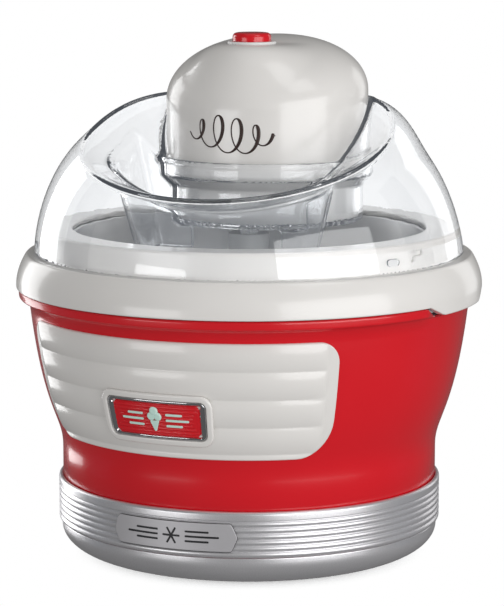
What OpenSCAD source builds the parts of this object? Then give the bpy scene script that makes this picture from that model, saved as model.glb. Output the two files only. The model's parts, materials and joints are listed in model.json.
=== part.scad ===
// Table-top ice cream maker: a holder, a lift-out freezer bowl, a clear lid and a motor unit.
// Millimetres. The origin is on the surface it stands on, under the centre of the bowl.
// The front faces -Y. Heights stack up from the feet, so each piece starts where the last one ends.

/* [Base] */
// Height of the rubber feet
foot_h = 1.5; // [1:0.5:5]
// Radius of one foot
foot_r = 8; // [5:0.5:9]
// Distance from the centre to each foot
foot_place_r = 64; // [45:1:66]
// Widest radius of the rounded base
base_r = 95.9; // [78:0.1:116]
// Height of the rounded base
base_h = 16; // [13:0.5:22]
// Width of the rounded bottom edge
base_round_w = 20; // [14:1:22]
// Height of the rounded bottom edge
base_round_h = 13; // [9:0.5:13]

/* [Ribbed band] */
// How far the band stands out past the base
band_step = 1.5; // [1:0.1:3]
// Height of the band
band_h = 22.5; // [18:0.5:28]
// Number of ribs on the band
rib_count = 6; // [4:1:8]
// Depth of the grooves between ribs
rib_depth = 1; // [0.5:0.1:1.2]
// Thickness of the band under the grooves
band_wall = 1.2; // [1:0.1:1.5]

/* [Holder] */
// Wall of the red body
body_wall = 2.8; // [2:0.1:3.5]
// Height of the red body above the band
body_h = 96; // [80:1:116]
// Height of the straight part at its foot
straight_h = 14.5; // [8:0.5:20]
// Height over which the wall turns outwards
cove_h = 17; // [10:1:25]
// How much the mouth is wider than the curve's last handle
mouth_lean = 6.5; // [3:0.5:8]
// Height of the lip at the mouth
lip_h = 6.5; // [6:0.5:9]
// How far the lip stands out
lip_out = 5.5; // [4:0.5:7]
// Wall of the inner cup
liner_wall = 2; // [1.5:0.1:2.5]
// Air gap between the body and the inner cup
liner_gap = 1.2; // [0.8:0.1:2]

/* [Front panel] */
// Half of the angle that the panel spans
panel_half = 48; // [40:1:55]
// Lowest point of the panel above the band
panel_low = 25.5; // [20:0.5:30]
// Height of the panel
panel_h = 59; // [48:0.5:66]
// Thickness of the panel
panel_t = 1.1; // [0.8:0.1:1.6]
// Height of one broad ridge of the panel
ridge_pitch = 14; // [10:0.5:20]
// Height that a ridge stands out
ridge_out = 0.9; // [0.4:0.1:1.4]
// Width of the badge
badge_w = 55; // [45:1:60]
// Height of the badge
badge_h = 20; // [16:1:24]
// Border round the badge
badge_border = 3.4; // [2:0.2:5]
// Centre of the badge above the band
badge_rise = 45.5; // [40:0.5:50]
// Width of the name plate on the band
plate_w = 66; // [50:1:80]
// Height of the name plate
plate_h = 14.4; // [10:0.2:16]

/* [Freezer bowl] */
// Radius of the aluminium bowl at its rim
bowl_r = 88; // [73:0.5:106]
// Wall of the aluminium bowl
bowl_wall = 1.2; // [1:0.1:1.6]
// Depth of the aluminium bowl below the deck
bowl_depth = 102; // [85:1:104]
// Radius of the bowl's inside corner
bowl_corner_r = 15; // [10:1:20]
// How much the bowl narrows from the rim to the floor
bowl_taper = 18; // [14:1:26]
// Width of the white ring on top of the bowl
ring_w = 17; // [13:0.5:20]
// Height of the white ring above the deck
ring_h = 13; // [10:0.5:16]
// Wall of the white plastic parts of the bowl
rim_wall = 2.5; // [2:0.1:3]
// Width of the deck outside the ring
deck_w = 13; // [11:0.5:16]
// Height of the collar from the holder's lip to the deck
collar_h = 17.6; // [14:0.2:21]
// Half of the angle of a grip tab
tab_half = 17; // [12:1:20]
// How far a grip tab reaches down
tab_drop = 4.4; // [3:0.2:5]
// Radius of the pin that the paddle turns on
pivot_r = 4; // [3:0.5:6]

/* [Lid] */
// Wall of the clear lid
lid_wall = 2.2; // [1.6:0.1:3]
// Gap between the lid and the bowl's ring
lid_gap = 1.5; // [1:0.1:2]
// Height of the lid's dome
dome_h = 75.4; // [66:0.2:84]
// Height of the hood round the motor unit
hood_h = 75.9; // [68:0.1:84]
// Radius of the hood's shoulder
hood_round_r = 23.5; // [16:0.5:28]
// Distance of the hood's centre behind the bowl's centre
hood_back = 10; // [5:0.5:16]
// Tilt of the rim of the pouring hollow
hollow_tilt = 18.3; // [12:0.1:24]
// Turn of the pouring hollow about the bowl's axis
hollow_turn = 10.3; // [-20:0.1:20]
// Slope of the hollow's wall
hollow_slope = 34; // [28:1:40]
// Half of the chute's width at its foot
chute_half_w = 42; // [30:1:46]
// Radius of the chute's front wall at its foot
chute_r = 60; // [50:1:68]

/* [Motor unit] */
// Radius of the motor housing
motor_r = 51.5; // [48:0.5:56]
// Distance of the housing's centre behind the bowl's centre
motor_back = 22; // [18:0.5:26]
// Height of the housing's straight wall
motor_side_h = 63; // [55:0.5:75]
// Height of the housing's domed top
motor_top_h = 29; // [22:0.5:34]
// Tilt of the domed top
motor_top_tilt = 6.3; // [0:0.1:8]
// Wall of the motor housing
motor_wall = 2.4; // [2:0.1:3]
// Radius of the plug under the housing
plug_r = 46.4; // [44:0.2:47]
// Height of that plug
plug_h = 17.5; // [17:0.5:22]
// Radius of the push button
button_r = 9.7; // [7:0.1:12]
// Travel of the push button
button_travel = 3; // [1.5:0.5:3.5]
// Radius of the motor's can
can_r = 25; // [20:0.5:26]
// Height of the motor's can
can_h = 24; // [18:0.5:26]

/* [Gear train] */
// Teeth of each pinion
pinion_teeth = 12; // [12:1:14]
// Teeth of each wheel
wheel_teeth = 36; // [34:1:38]
// Module of the first pair
module_fast = 0.7; // [0.65:0.05:0.75]
// Module of the second pair
module_slow = 1.0; // [0.9:0.05:1.05]
// Play between the teeth
backlash = 0.16; // [0.1:0.02:0.3]
// Radius of the output shaft
shaft_r = 4; // [3:0.5:4.5]
// Width across the flats of the paddle drive
drive_af = 9; // [7:0.5:10]

/* [Paddle] */
// Thickness of the blades
blade_t = 3; // [2:0.5:5]
// Gap between the blades and the bowl
scrape_gap = 1.5; // [1:0.1:3]
// Radius of the paddle's hub
hub_r = 10.5; // [9:0.5:13]

/* [Fits] */
// Gap between seated plastic pieces
seat_gap = 0.3; // [0.2:0.05:0.5]
// Radial gap of a running shaft
run_gap = 0.05; // [0.03:0.01:0.1]
// Radial gap round the motor unit and the button
slip_gap = 0.6; // [0.4:0.1:0.8]

/* [Hidden] */
$fn = 96;
eps = 0.01;

// Heights of the stack
base_z = foot_h;
band_z = base_z + base_h;
body_z = band_z + band_h;
rim_z = body_z + body_h;
deck_z = rim_z + collar_h;
ring_z = deck_z + ring_h;
lid_z = deck_z + seat_gap;

// Radii
band_r = base_r + band_step;
body_r = band_r - 2.2;
ring_r = bowl_r + ring_w;
lid_r = ring_r + lid_gap + lid_wall;
collar_r = ring_r + deck_w;
lip_r = collar_r - 1;
mouth_r = lip_r - lip_out;
collar_crown = 5.3;
tab_inset = 0.25;

// Base
screw_place_r = 66;
screw_angles = [45, 135, 225, 315];
foot_angles = [-90, 0, 90, 180];
cover_r = base_r - base_round_w - 0.4;

// Panel and badge
panel_low_z = body_z + panel_low;
panel_high_z = panel_low_z + panel_h;
badge_z = body_z + badge_rise;
badge_in = panel_t + ridge_out + 0.05;
badge_frame_out = 1.2;
bezel_w = 2;

// Bowl, measured from the holder's outline
floor_t = 2.8;
liner_floor_z = band_z + floor_t + liner_gap;
outer_inset = body_wall + liner_gap + liner_wall + 2;
outer_floor_z = liner_floor_z + liner_wall + seat_gap;
outer_wall = 2;
bowl_floor_z = deck_z - bowl_depth;
bowl_floor_r = bowl_r - bowl_taper;
curve_steps = 14;

// Pouring hollow: a tilted cone whose rim lies on the dome
fold_z = deck_z + 71.65;
hollow_r = lid_r - 28.7;
hollow_shift = 25;
hollow_depth = 30;
hollow_up = 40;
chute_z = deck_z + 2;
chute_flare = 0.25;

// Cup for the motor unit, and the lugs of the lid
cup_lip_t = 2;
lug_angles = [66, 186, 306];
lug_clear = 0.4;
lug_rise = 5;
lug_r = 1.7;
lug_half_w = 2.2;

// Motor unit
unit_z = deck_z + 16.4;
seat_t = 2;
shoulder_h = 6;
unit_shoulder_z = unit_z + plug_h;
unit_wall_z = unit_shoulder_z + shoulder_h;
unit_dome_z = unit_z + motor_side_h;
cup_r = motor_r + slip_gap;
cup_plug_r = plug_r + slip_gap;
cup_wall = 2.2;
cup_top_z = unit_z + 30.6;
cup_lip_r = cup_r + cup_wall + 1.2;
button_y = 3.3;
button_top_z = unit_dome_z + 31;
button_h = 8.6;
button_ring_r = button_r + 2.6;
button_ring_h = 9;
button_ring_z = button_top_z - 4.6 - button_ring_h;
button_flange_r = button_r + 1.3;
button_flange_t = 2;
stem_r = 3;

// Gears
gear_add = 0.8;
gear_ded = 1.15;
centre_fast = module_fast * (pinion_teeth + wheel_teeth) / 2;
centre_slow = module_slow * (pinion_teeth + wheel_teeth) / 2;
rotor_y = 27;
idler_y = (pow(centre_slow, 2) - pow(centre_fast, 2) + pow(rotor_y, 2)) / (2 * rotor_y);
idler_x = sqrt(pow(centre_slow, 2) - pow(idler_y, 2));
slow_angle = atan2(idler_y, idler_x);
fast_angle = atan2(rotor_y - idler_y, -idler_x);
base_plate_t = 2.5;
gear_plate_z = unit_z + 17.6;
gear_plate_t = 2;
gear_plate_r = plug_r - motor_wall - 0.5;
fast_z = unit_z + 4.2;
fast_t = 3.2;
slow_z = unit_z + 9;
slow_t = 5;
rotor_shaft_r = 1.5;
idler_pin_r = 1.5;
can_z = gear_plate_z + gear_plate_t;
can_wall = 1.2;
boss_r = 4;
boss_places = [[40.3, 0], [-40.3, 0], [0, 40.3]];
pillar_places = [[-25, -12], [-24, 24], [27, 20]];
drive_tip_z = deck_z - 2;
bush_r = shaft_r + 2.5;

// Switch
bracket_z = can_z + can_h + 1;
bracket_h = 13;
switch_w = 18;
switch_d = 15;
switch_h = 14;
switch_z = bracket_z + bracket_h;
button_bottom_z = button_top_z - button_h - button_flange_t;

// Cord inlet
gland_r = 6.5;
gland_bore_r = 3.4;
gland_z = unit_dome_z + 3;
gland_hole_r = 5.2;

// Paddle
hub_top_z = deck_z + 9.5;
hub_bottom_z = bowl_floor_z + scrape_gap;
pivot_h = 10;
socket_depth = hub_top_z - drive_tip_z + 2;
blade_top_z = deck_z - 8;
short_blade_top_z = blade_top_z - 34;
window_in = 20;
window_low = 13;
window_reach = bowl_floor_r - 18;

red = "firebrick";
ivory = "whitesmoke";
silver_paint = "silver";
clear_grey = [0.8, 0.85, 0.9, 0.35];

// ---- Helpers ----

// Point on a cubic curve
function bezier(u, a, b, c, d) =
    pow(1 - u, 3) * a + 3 * pow(1 - u, 2) * u * b + 3 * (1 - u) * u * u * c + pow(u, 3) * d;

// Outline of the holder's wall, moved inwards by inset
function body_curve(inset) = [for (i = [0 : curve_steps]) let (u = i / curve_steps) bezier(u,
    [body_r - inset, body_z + straight_h],
    [body_r - inset, body_z + straight_h + cove_h],
    [mouth_r - mouth_lean - inset, body_z + straight_h + cove_h],
    [mouth_r - inset, rim_z - lip_h])];

// Radius of the holder's wall at a height, for the pieces that lie on it
function curve_r(z, points, i = 0) = z <= points[0][1] ? points[0][0]
    : i >= len(points) - 1 ? points[len(points) - 1][0]
    : z <= points[i + 1][1] ? points[i][0] + (points[i + 1][0] - points[i][0])
        * (z - points[i][1]) / (points[i + 1][1] - points[i][1])
    : curve_r(z, points, i + 1);

// Arc from angle a to angle b
function arc(centre, r, a, b, steps = 8) = [for (i = [0 : steps]) let (t = a + (b - a) * i / steps)
    centre + r * [cos(t), sin(t)]];

// Quarter of an ellipse that starts level and ends upright
function ellipse_edge(centre, rx, ry, steps = 10) = [for (i = [0 : steps])
    let (t = -90 + 90 * i / steps) centre + [rx * cos(t), ry * sin(t)]];

// Corner of an outline rounded to radius r
function rounded(points, r, steps = 6) = [for (i = [0 : len(points) - 1])
    let (p = points[i], before = points[(i + len(points) - 1) % len(points)],
         after = points[(i + 1) % len(points)],
         u = (before - p) / norm(before - p), v = (after - p) / norm(after - p),
         half = acos(u * v) / 2, reach = r[i] / tan(half),
         mid = (u + v) / norm(u + v), centre = p + mid * r[i] / sin(half),
         from = p + u * reach - centre, to = p + v * reach - centre,
         a = atan2(from[1], from[0]), turn = atan2(to[1], to[0]) - a,
         sweep = turn > 180 ? turn - 360 : turn < -180 ? turn + 360 : turn)
    each [for (k = [0 : steps]) centre + r[i] * [cos(a + sweep * k / steps), sin(a + sweep * k / steps)]]];

// Solid of revolution from an outline
module turned(points) rotate_extrude() polygon(points);

// Ring between two radii
module tube(r_out, r_in, h) difference() {
    cylinder(r = r_out, h = h);
    translate([0, 0, -eps]) cylinder(r = r_in, h = h + 2 * eps);
}

// Copies children round the axis
module around(angles) for (a = angles) rotate(a) children();

// Prism that runs forwards from an outline drawn in the front view
module front_prism(points) rotate([90, 0, 0]) linear_extrude(collar_r) polygon(points);

// Wall between two insets of the holder's curve, for the panel and the badge
module skin(out, in, low, high, step) {
    base = body_curve(0);
    count = ceil((high - low) / step);
    heights = [for (i = [0 : count]) low + (high - low) * i / count];
    turned(concat(
        [for (z = heights) [curve_r(z, base) + in, z]],
        [for (i = [count : -1 : 0]) [curve_r(heights[i], base) + out, heights[i]]]));
}

// Involute gear outline
function involute(a) = tan(a) - a * PI / 180;
function tooth_half(r, rp, rb, teeth, play) = (PI / (2 * teeth) - play / (4 * rp)
    + involute(acos(rb / rp)) - involute(acos(min(1, rb / r)))) * 180 / PI;
function gear_points(teeth, size, play) =
    let (rp = teeth * size / 2, rb = rp * cos(20), rt = rp + gear_add * size, rr = rp - gear_ded * size,
         rs = max(rb, rr), steps = 5,
         flank = [for (i = [0 : steps]) let (r = rs + (rt - rs) * i / steps)
             [r, tooth_half(r, rp, rb, teeth, play)]])
    [for (k = [0 : teeth - 1]) let (a = k * 360 / teeth)
        each concat([[rr * cos(a - flank[0][1]), rr * sin(a - flank[0][1])]],
            [for (f = flank) if (f[0] > rr) [f[0] * cos(a - f[1]), f[0] * sin(a - f[1])]],
            [for (i = [steps : -1 : 0]) if (flank[i][0] > rr)
                [flank[i][0] * cos(a + flank[i][1]), flank[i][0] * sin(a + flank[i][1])]],
            [[rr * cos(a + flank[0][1]), rr * sin(a + flank[0][1])]])];
module gear(teeth, size, t, bore) difference() {
    linear_extrude(t) polygon(gear_points(teeth, size, backlash));
    translate([0, 0, -1]) cylinder(r = bore, h = t + 2);
}

// ---- Base ----

module base_shell() color(silver_paint) difference() {
    wall = 2.6;
    turned(concat(
        ellipse_edge([base_r - base_round_w, base_z + base_round_h], base_round_w, base_round_h),
        [[base_r, band_z - seat_gap], [base_r - base_round_w - 16, band_z - seat_gap],
         [base_r - base_round_w - 16, band_z - seat_gap - wall],
         [base_r - wall, band_z - seat_gap - wall]],
        [for (i = [10 : -1 : 0]) let (t = -90 + 90 * i / 10)
            [base_r - base_round_w + (base_round_w - wall) * cos(t),
             base_z + base_round_h + (base_round_h - wall) * sin(t)]]));
    around(screw_angles) translate([screw_place_r, 0, band_z - 6]) cylinder(r = 2.3, h = 8);
}

module base_cover() color("dimgray") difference() {
    union() {
        translate([0, 0, base_z]) cylinder(r = cover_r, h = 2.4);
        around(screw_angles) translate([screw_place_r, 0, base_z + 1])
            cylinder(r = 5.5, h = base_h - 2.6 - 1.6);
    }
    around(screw_angles) translate([screw_place_r, 0, base_z]) {
        translate([0, 0, -1]) cylinder(r = 2.3, h = base_h + 2);
        translate([0, 0, -1]) cylinder(r = 4, h = 4);
    }
    around(foot_angles) translate([foot_place_r, 0, base_z - 1]) cylinder(r = foot_r, h = 2.2);
}

module feet() color("black") around(foot_angles) translate([foot_place_r, 0, 0]) rotate_extrude()
    polygon([[0, 0], [foot_r - 1, 0], [foot_r - 0.3, 0.6], [foot_r - 0.2, foot_h + 1.1], [0, foot_h + 1.1]]);

module base_screws() color("silver") around(screw_angles) translate([screw_place_r, 0, base_z]) {
    translate([0, 0, 1]) cylinder(r = 3.6, h = 2);
    translate([0, 0, 2.9]) cylinder(r = 1.8, h = base_h + floor_t - 2.9);
}

module rib_band() color(silver_paint) {
    pitch = band_h / rib_count;
    inner = body_r + 0.2;
    turned(concat([[inner, body_z], [inner, band_z], [band_r - rib_depth, band_z]],
        [for (k = [0 : rib_count - 1]) each [for (i = [1 : 7])
            [band_r - rib_depth + rib_depth * pow(sin(180 * i / 8), 0.6), band_z + pitch * (k + i / 8)]]],
        [[band_r - rib_depth, body_z]]));
}

module name_plate() color("gainsboro") intersection() {
    mid = band_z + band_h / 2 - 0.6;
    translate([0, 0, band_z]) tube(band_r + 0.9, band_r + 0.05, band_h);
    end = plate_w / 2;
    high = plate_h / 2;
    front_prism(rounded([[-end + 3, mid - high], [end - 3, mid - high], [end, mid],
        [end - 3, mid + high], [-end + 3, mid + high], [-end, mid]], [2, 2, 12, 2, 2, 12]));
}

// ---- Holder ----

module body_outside(inset) turned(concat(
    [[0, band_z], [body_r - inset, band_z]], body_curve(inset),
    [[lip_r - 1.2 - inset, rim_z - lip_h + 2.2], [lip_r - inset, rim_z - lip_h + 3.4],
     [lip_r - inset, rim_z - 0.6], [lip_r - inset - 0.6, rim_z], [0, rim_z]]));

module body_inside() turned(concat(
    [[0, band_z + floor_t], [body_r - body_wall, band_z + floor_t]], body_curve(body_wall),
    [[mouth_r - body_wall, rim_z - 3], [lip_r - body_wall, rim_z - 3],
     [lip_r - body_wall, rim_z + 1], [0, rim_z + 1]]));

// Sector of a ring between two angles either side of +X
module sector(half, r_in, r_out, z, h) translate([0, 0, z]) rotate(-half)
    rotate_extrude(angle = 2 * half) translate([r_in, 0]) square([r_out - r_in, h]);

module body_shell() color(red) difference() {
    body_outside(0);
    body_inside();
    translate([0, 0, band_z - 1]) cylinder(r = 40, h = floor_t + 2);
    around([0, 180]) sector(tab_half + 1, lip_r - body_wall - eps, lip_r + 2, rim_z - tab_drop - 0.8, 10);
    around(screw_angles) translate([screw_place_r, 0, band_z - 1]) cylinder(r = 1.8, h = floor_t + 2);
}

module body_liner() color("lightgray") {
    inset = body_wall + liner_gap;
    difference() {
        turned(concat([[0, liner_floor_z], [body_r - inset, liner_floor_z]], body_curve(inset),
            [[mouth_r - inset, rim_z - 2.8], [lip_r - body_wall - 0.3, rim_z - 2.8],
             [lip_r - body_wall - 0.3, rim_z - 1], [0, rim_z - 1]]));
        turned(concat([[0, liner_floor_z + liner_wall], [body_r - inset - liner_wall, liner_floor_z + liner_wall]],
            body_curve(inset + liner_wall),
            [[mouth_r - inset - liner_wall, rim_z + 1], [0, rim_z + 1]]));
        around(screw_angles) translate([screw_place_r, 0, liner_floor_z - 2]) cylinder(r = 3, h = 8);
    }
}

module front_panel() color(ivory) {
    panel_sheet();
    difference() {
        intersection() {
            skin(badge_in + badge_frame_out, panel_t / 2, badge_z - badge_h, badge_z + badge_h, 4);
            front_prism(badge_outline(badge_border));
        }
        front_prism(badge_outline(0));
    }
}

// Sheet with broad ridges that run round the holder
module panel_sheet() intersection() {
    base = body_curve(0);
    rows = 32;
    heights = [for (i = [0 : rows]) panel_low_z + panel_h * i / rows];
    turned(concat(
        [for (z = heights) [curve_r(z, base) + 0.05, z]],
        [for (i = [rows : -1 : 0]) let (z = heights[i])
            [curve_r(z, base) + panel_t + ridge_out * abs(sin(180 * (panel_high_z - z) / ridge_pitch)), z]]));
    low_w = curve_r(panel_low_z, base) * sin(panel_half);
    high_w = curve_r(panel_high_z, base) * sin(panel_half);
    front_prism(rounded([[-low_w, panel_low_z], [low_w, panel_low_z], [high_w, panel_high_z],
        [-high_w, panel_high_z]], [18, 18, 9, 9]));
}

function badge_outline(grow) = let (w = badge_w / 2 + grow, h = badge_h / 2 + grow)
    rounded([[-w, badge_z - h], [w, badge_z - h], [w, badge_z + h], [-w, badge_z + h]],
        [4 + grow, 4 + grow, 4 + grow, 4 + grow]);
module badge_bezel() color("silver") difference() {
    intersection() {
        skin(badge_in + badge_frame_out - 0.1, badge_in, badge_z - badge_h, badge_z + badge_h, 4);
        front_prism(badge_outline(-0.1));
    }
    front_prism(badge_outline(-bezel_w));
}

module badge_plate() color(red) intersection() {
    skin(badge_in + 0.8, badge_in, badge_z - badge_h, badge_z + badge_h, 4);
    front_prism(badge_outline(-bezel_w - 0.2));
}

// Generic cone with two scoops
module badge_emblem() color("honeydew") intersection() {
    skin(badge_in + 1.4, badge_in + 0.85, badge_z - badge_h, badge_z + badge_h, 4);
    rotate([90, 0, 0]) linear_extrude(collar_r) {
        polygon([[-3, badge_z - 0.6], [0, badge_z - 6.4], [3, badge_z - 0.6]]);
        translate([0, badge_z + 1.4]) circle(r = 3.4);
        translate([0, badge_z + 4.4]) circle(r = 2);
    }
}

// ---- Freezer bowl ----

collar_steps = 8;
function collar_curve(inset) = [for (i = [0 : collar_steps]) bezier(i / collar_steps,
    [collar_r - inset, rim_z + 2], [collar_r - inset, rim_z + 8],
    [collar_r - 2.8 - inset, rim_z + collar_h - 4], [collar_r - collar_crown + 0.9 - inset, deck_z - 0.8])];

module bowl_rim() color(ivory) {
    turned(concat(
        [[collar_r - rim_wall, rim_z + seat_gap], [collar_r, rim_z + seat_gap]], collar_curve(0),
        [[collar_r - collar_crown, deck_z], [ring_r, deck_z], [ring_r, ring_z - 0.8], [ring_r - 0.8, ring_z],
         [bowl_r + 2, ring_z], [bowl_r + 1.2, ring_z - 0.8], [bowl_r + 1.2, ring_z - rim_wall],
         [ring_r - rim_wall, ring_z - rim_wall], [ring_r - rim_wall, deck_z - rim_wall],
         [collar_r - collar_crown - rim_wall, deck_z - rim_wall],
         [collar_r - rim_wall - 0.6, rim_z + 6]]));
    around([0, 180]) intersection() {
        sector(tab_half, lip_r - body_wall + 0.5, collar_r - tab_inset, rim_z - tab_drop, tab_drop + 3);
        rotate([90, 0, 90]) linear_extrude(collar_r + 1) polygon([
            [-collar_r * sin(tab_half - 6), rim_z - tab_drop], [collar_r * sin(tab_half - 6), rim_z - tab_drop],
            [collar_r * sin(tab_half - 0.2), rim_z + 2], [-collar_r * sin(tab_half - 0.2), rim_z + 2]]);
    }
}

outer_top_z = deck_z - rim_wall - seat_gap;
module bowl_outer() color("lightgray") difference() {
    turned(concat([[0, outer_floor_z], [body_r - outer_inset - 3, outer_floor_z],
        [body_r - outer_inset, outer_floor_z + 3]], body_curve(outer_inset),
        [[mouth_r - outer_inset, outer_top_z], [0, outer_top_z]]));
    turned(concat([[0, outer_floor_z + outer_wall], [body_r - outer_inset - outer_wall - 2, outer_floor_z + outer_wall],
        [body_r - outer_inset - outer_wall, outer_floor_z + outer_wall + 2]], body_curve(outer_inset + outer_wall),
        [[mouth_r - outer_inset - outer_wall, outer_top_z + 1], [0, outer_top_z + 1]]));
    translate([0, 0, outer_floor_z - 1]) cylinder(r = 5, h = outer_wall + 2);
}

module fill_plug() color("dimgray") translate([0, 0, outer_floor_z]) {
    cylinder(r = 4.9, h = outer_wall);
    translate([0, 0, outer_wall]) cylinder(r = 7, h = 1.5);
}

function bowl_inside(grow) = let (
    top = [bowl_r + grow, ring_z - rim_wall - seat_gap],
    low_r = bowl_floor_r + grow)
    concat([[0, bowl_floor_z - grow]],
        arc([low_r - bowl_corner_r - grow, bowl_floor_z + bowl_corner_r], bowl_corner_r + grow, -90, -6, 8),
        [top]);

module bowl_inner() color("silver") {
    difference() {
        union() {
            turned(concat(bowl_inside(bowl_wall), [[0, ring_z - rim_wall - seat_gap]]));
            translate([0, 0, ring_z - rim_wall - seat_gap - bowl_wall]) cylinder(r = ring_r - rim_wall - 1, h = bowl_wall);
        }
        turned(concat(bowl_inside(0), [[bowl_r, ring_z], [0, ring_z]]));
    }
    translate([0, 0, bowl_floor_z - bowl_wall / 2]) cylinder(r = pivot_r, h = pivot_h);
}

module coolant_gel() color("lightblue") difference() {
    gap = 0.3;
    top = outer_top_z - 12;
    turned(concat([[0, outer_floor_z + outer_wall + 1.7], [body_r - outer_inset - outer_wall - 3, outer_floor_z + outer_wall + 1.7],
        [body_r - outer_inset - outer_wall - gap, outer_floor_z + outer_wall + 5]],
        [for (p = body_curve(outer_inset + outer_wall + gap)) if (p[1] < top) p],
        [[curve_r(top, body_curve(outer_inset + outer_wall + gap)), top], [0, top]]));
    turned(concat(bowl_inside(bowl_wall + gap), [[0, ring_z]]));
}

// ---- Lid ----

dome_steps = 20;
dome_round = 3.9;
dome_rise = 1.706;
module dome(inset) turned(concat([[0, lid_z - 2 * inset], [lid_r - inset, lid_z - 2 * inset]],
    [for (i = [0 : dome_steps - 1]) let (a = 90 * i / dome_steps)
        [(lid_r - inset) * pow(cos(a), 2 / dome_round),
         lid_z + (dome_h - inset) * pow(sin(a), 2 / dome_rise)]],
    [[0, lid_z + dome_h - inset]]));

module hood(inset) translate([0, hood_back, 0]) {
    shoulder = hood_round_r - inset;
    centre = [motor_r + 2.5, lid_z + hood_h - hood_round_r];
    turned(concat([[0, centre[1]]], arc(centre, shoulder, 0, 90, 8), [[0, centre[1] + shoulder]]));
}

module lid_form(inset) {
    dome(inset);
    hood(inset);
}

module tilted() rotate(hollow_turn) translate([0, 0, fold_z]) rotate([hollow_tilt, 0, 0])
    translate([0, -hollow_shift, 0]) children();

module hollow(grow) tilted() translate([0, 0, -grow / cos(hollow_slope)]) {
    run = 1 / tan(hollow_slope);
    translate([0, 0, -hollow_depth])
        cylinder(r1 = hollow_r - hollow_depth * run, r2 = hollow_r + hollow_up * run, h = hollow_depth + hollow_up);
    translate([-collar_r, -2 * collar_r, 0]) cube([2 * collar_r, 2 * collar_r + 5, hollow_up]);
}

module chute(grow) intersection() {
    rise = 45;
    translate([0, 0, chute_z - 1]) cylinder(r1 = chute_r + grow, r2 = chute_r + grow + rise * chute_flare, h = rise);
    translate([0, -14 + grow, 0]) rotate([90, 0, 0]) linear_extrude(collar_r) polygon([
        [-chute_half_w - grow, chute_z - 1], [chute_half_w + grow, chute_z - 1],
        [chute_half_w + grow + rise * chute_flare, chute_z - 1 + rise],
        [-chute_half_w - grow - rise * chute_flare, chute_z - 1 + rise]]);
}

// Stepped cup that holds the motor unit
module cup_form(grow) translate([0, motor_back, 0]) turned([
    [0, unit_z - seat_gap], [cup_plug_r + grow, unit_z - seat_gap], [cup_plug_r + grow, unit_shoulder_z - 0.4 + grow * 0.4],
    [cup_r + grow, unit_wall_z - 0.4 + grow * 0.4 - 1], [cup_r + grow, unit_z + 90], [0, unit_z + 90]]);

// Everything that lies in the cup's wall or inside it
module cup_space() {
    cup_form(cup_wall);
    translate([0, motor_back, cup_top_z - cup_lip_t]) cylinder(r = cup_lip_r, h = cup_lip_t);
    translate([0, motor_back, unit_z - seat_t]) cylinder(r = cup_plug_r + cup_wall, h = seat_t);
}

module motor_cup() color(clear_grey) difference() {
    intersection() {
        cup_space();
        union() {
            translate([0, motor_back, unit_z - seat_t]) cylinder(r = cup_lip_r + 1, h = cup_top_z - unit_z + seat_t);
            difference() {
                lid_form(0);
                hollow(0);
            }
        }
    }
    cup_form(0);
    translate([0, motor_back, unit_z - seat_t - 1]) cylinder(r = plug_r - motor_wall - 1, h = seat_t + 2);
}

module lid_chute() color(clear_grey) difference() {
    intersection() {
        chute(lid_wall);
        lid_form(lid_wall / 2);
        translate([0, 0, chute_z]) cylinder(r = lid_r, h = dome_h);
    }
    hollow(0);
    chute(0);
    cup_space();
}

// Lug that turns under the ring to lock the lid
module lug() rotate([0, 90, 0]) {
    for (y = [-lug_half_w, lug_half_w]) translate([0, y, 0]) cylinder(r = lug_r, h = lid_gap);
    translate([-lug_r, -lug_half_w, 0]) cube([2 * lug_r, 2 * lug_half_w, lid_gap]);
}

module lid_shell() color(clear_grey) {
    difference() {
        lid_form(0);
        difference() {
            lid_form(lid_wall);
            hollow(lid_wall);
        }
        hollow(0);
        chute(lid_wall);
        cup_space();
    }
    around([for (a = lug_angles) a - 90]) translate([ring_r + lug_clear, 0, lid_z + lug_rise]) lug();
}

// ---- Motor unit ----

module motor_form(inset) {
    dome_steps = 14;
    intersection() {
        translate([0, motor_back, 0]) turned([
            [0, unit_z], [plug_r - inset, unit_z], [plug_r - inset, unit_shoulder_z + inset * 0.4],
            [motor_r - inset, unit_wall_z + inset * 0.4], [motor_r - inset, unit_dome_z + 60], [0, unit_dome_z + 60]]);
        translate([0, motor_back, unit_dome_z]) rotate([motor_top_tilt, 0, 0]) turned(concat(
            [[0, -motor_side_h - 20], [motor_r + 8, -motor_side_h - 20], [motor_r + 8, -4],
             [motor_r + 0.4 - inset, -4]],
            [for (i = [0 : dome_steps - 1]) let (a = 90 * i / dome_steps)
                [(motor_r + 0.4 - inset) * pow(cos(a), 2 / 2.3), (motor_top_h - inset) * sin(a)]],
            [[0, motor_top_h - inset]]));
    }
}

module motor_housing() color(ivory) difference() {
    union() {
        difference() {
            motor_form(0);
            motor_form(motor_wall);
        }
        intersection() {
            motor_form(0.5);
            for (p = boss_places) translate([p[0], motor_back + p[1], unit_z + base_plate_t])
                cylinder(r = boss_r, h = 36);
        }
    }
    translate([0, motor_back, unit_z - 1]) cylinder(r = plug_r - motor_wall, h = base_plate_t + 1);
    for (p = boss_places) translate([p[0], motor_back + p[1], unit_z]) cylinder(r = 1.3, h = 20);
    translate([0, button_y, button_ring_z - 2]) cylinder(r = button_ring_r + 0.1, h = 40);
    translate([0, motor_back + motor_r - 20, gland_z]) rotate([-90, 0, 0]) cylinder(r = gland_hole_r, h = 40);
}

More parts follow.
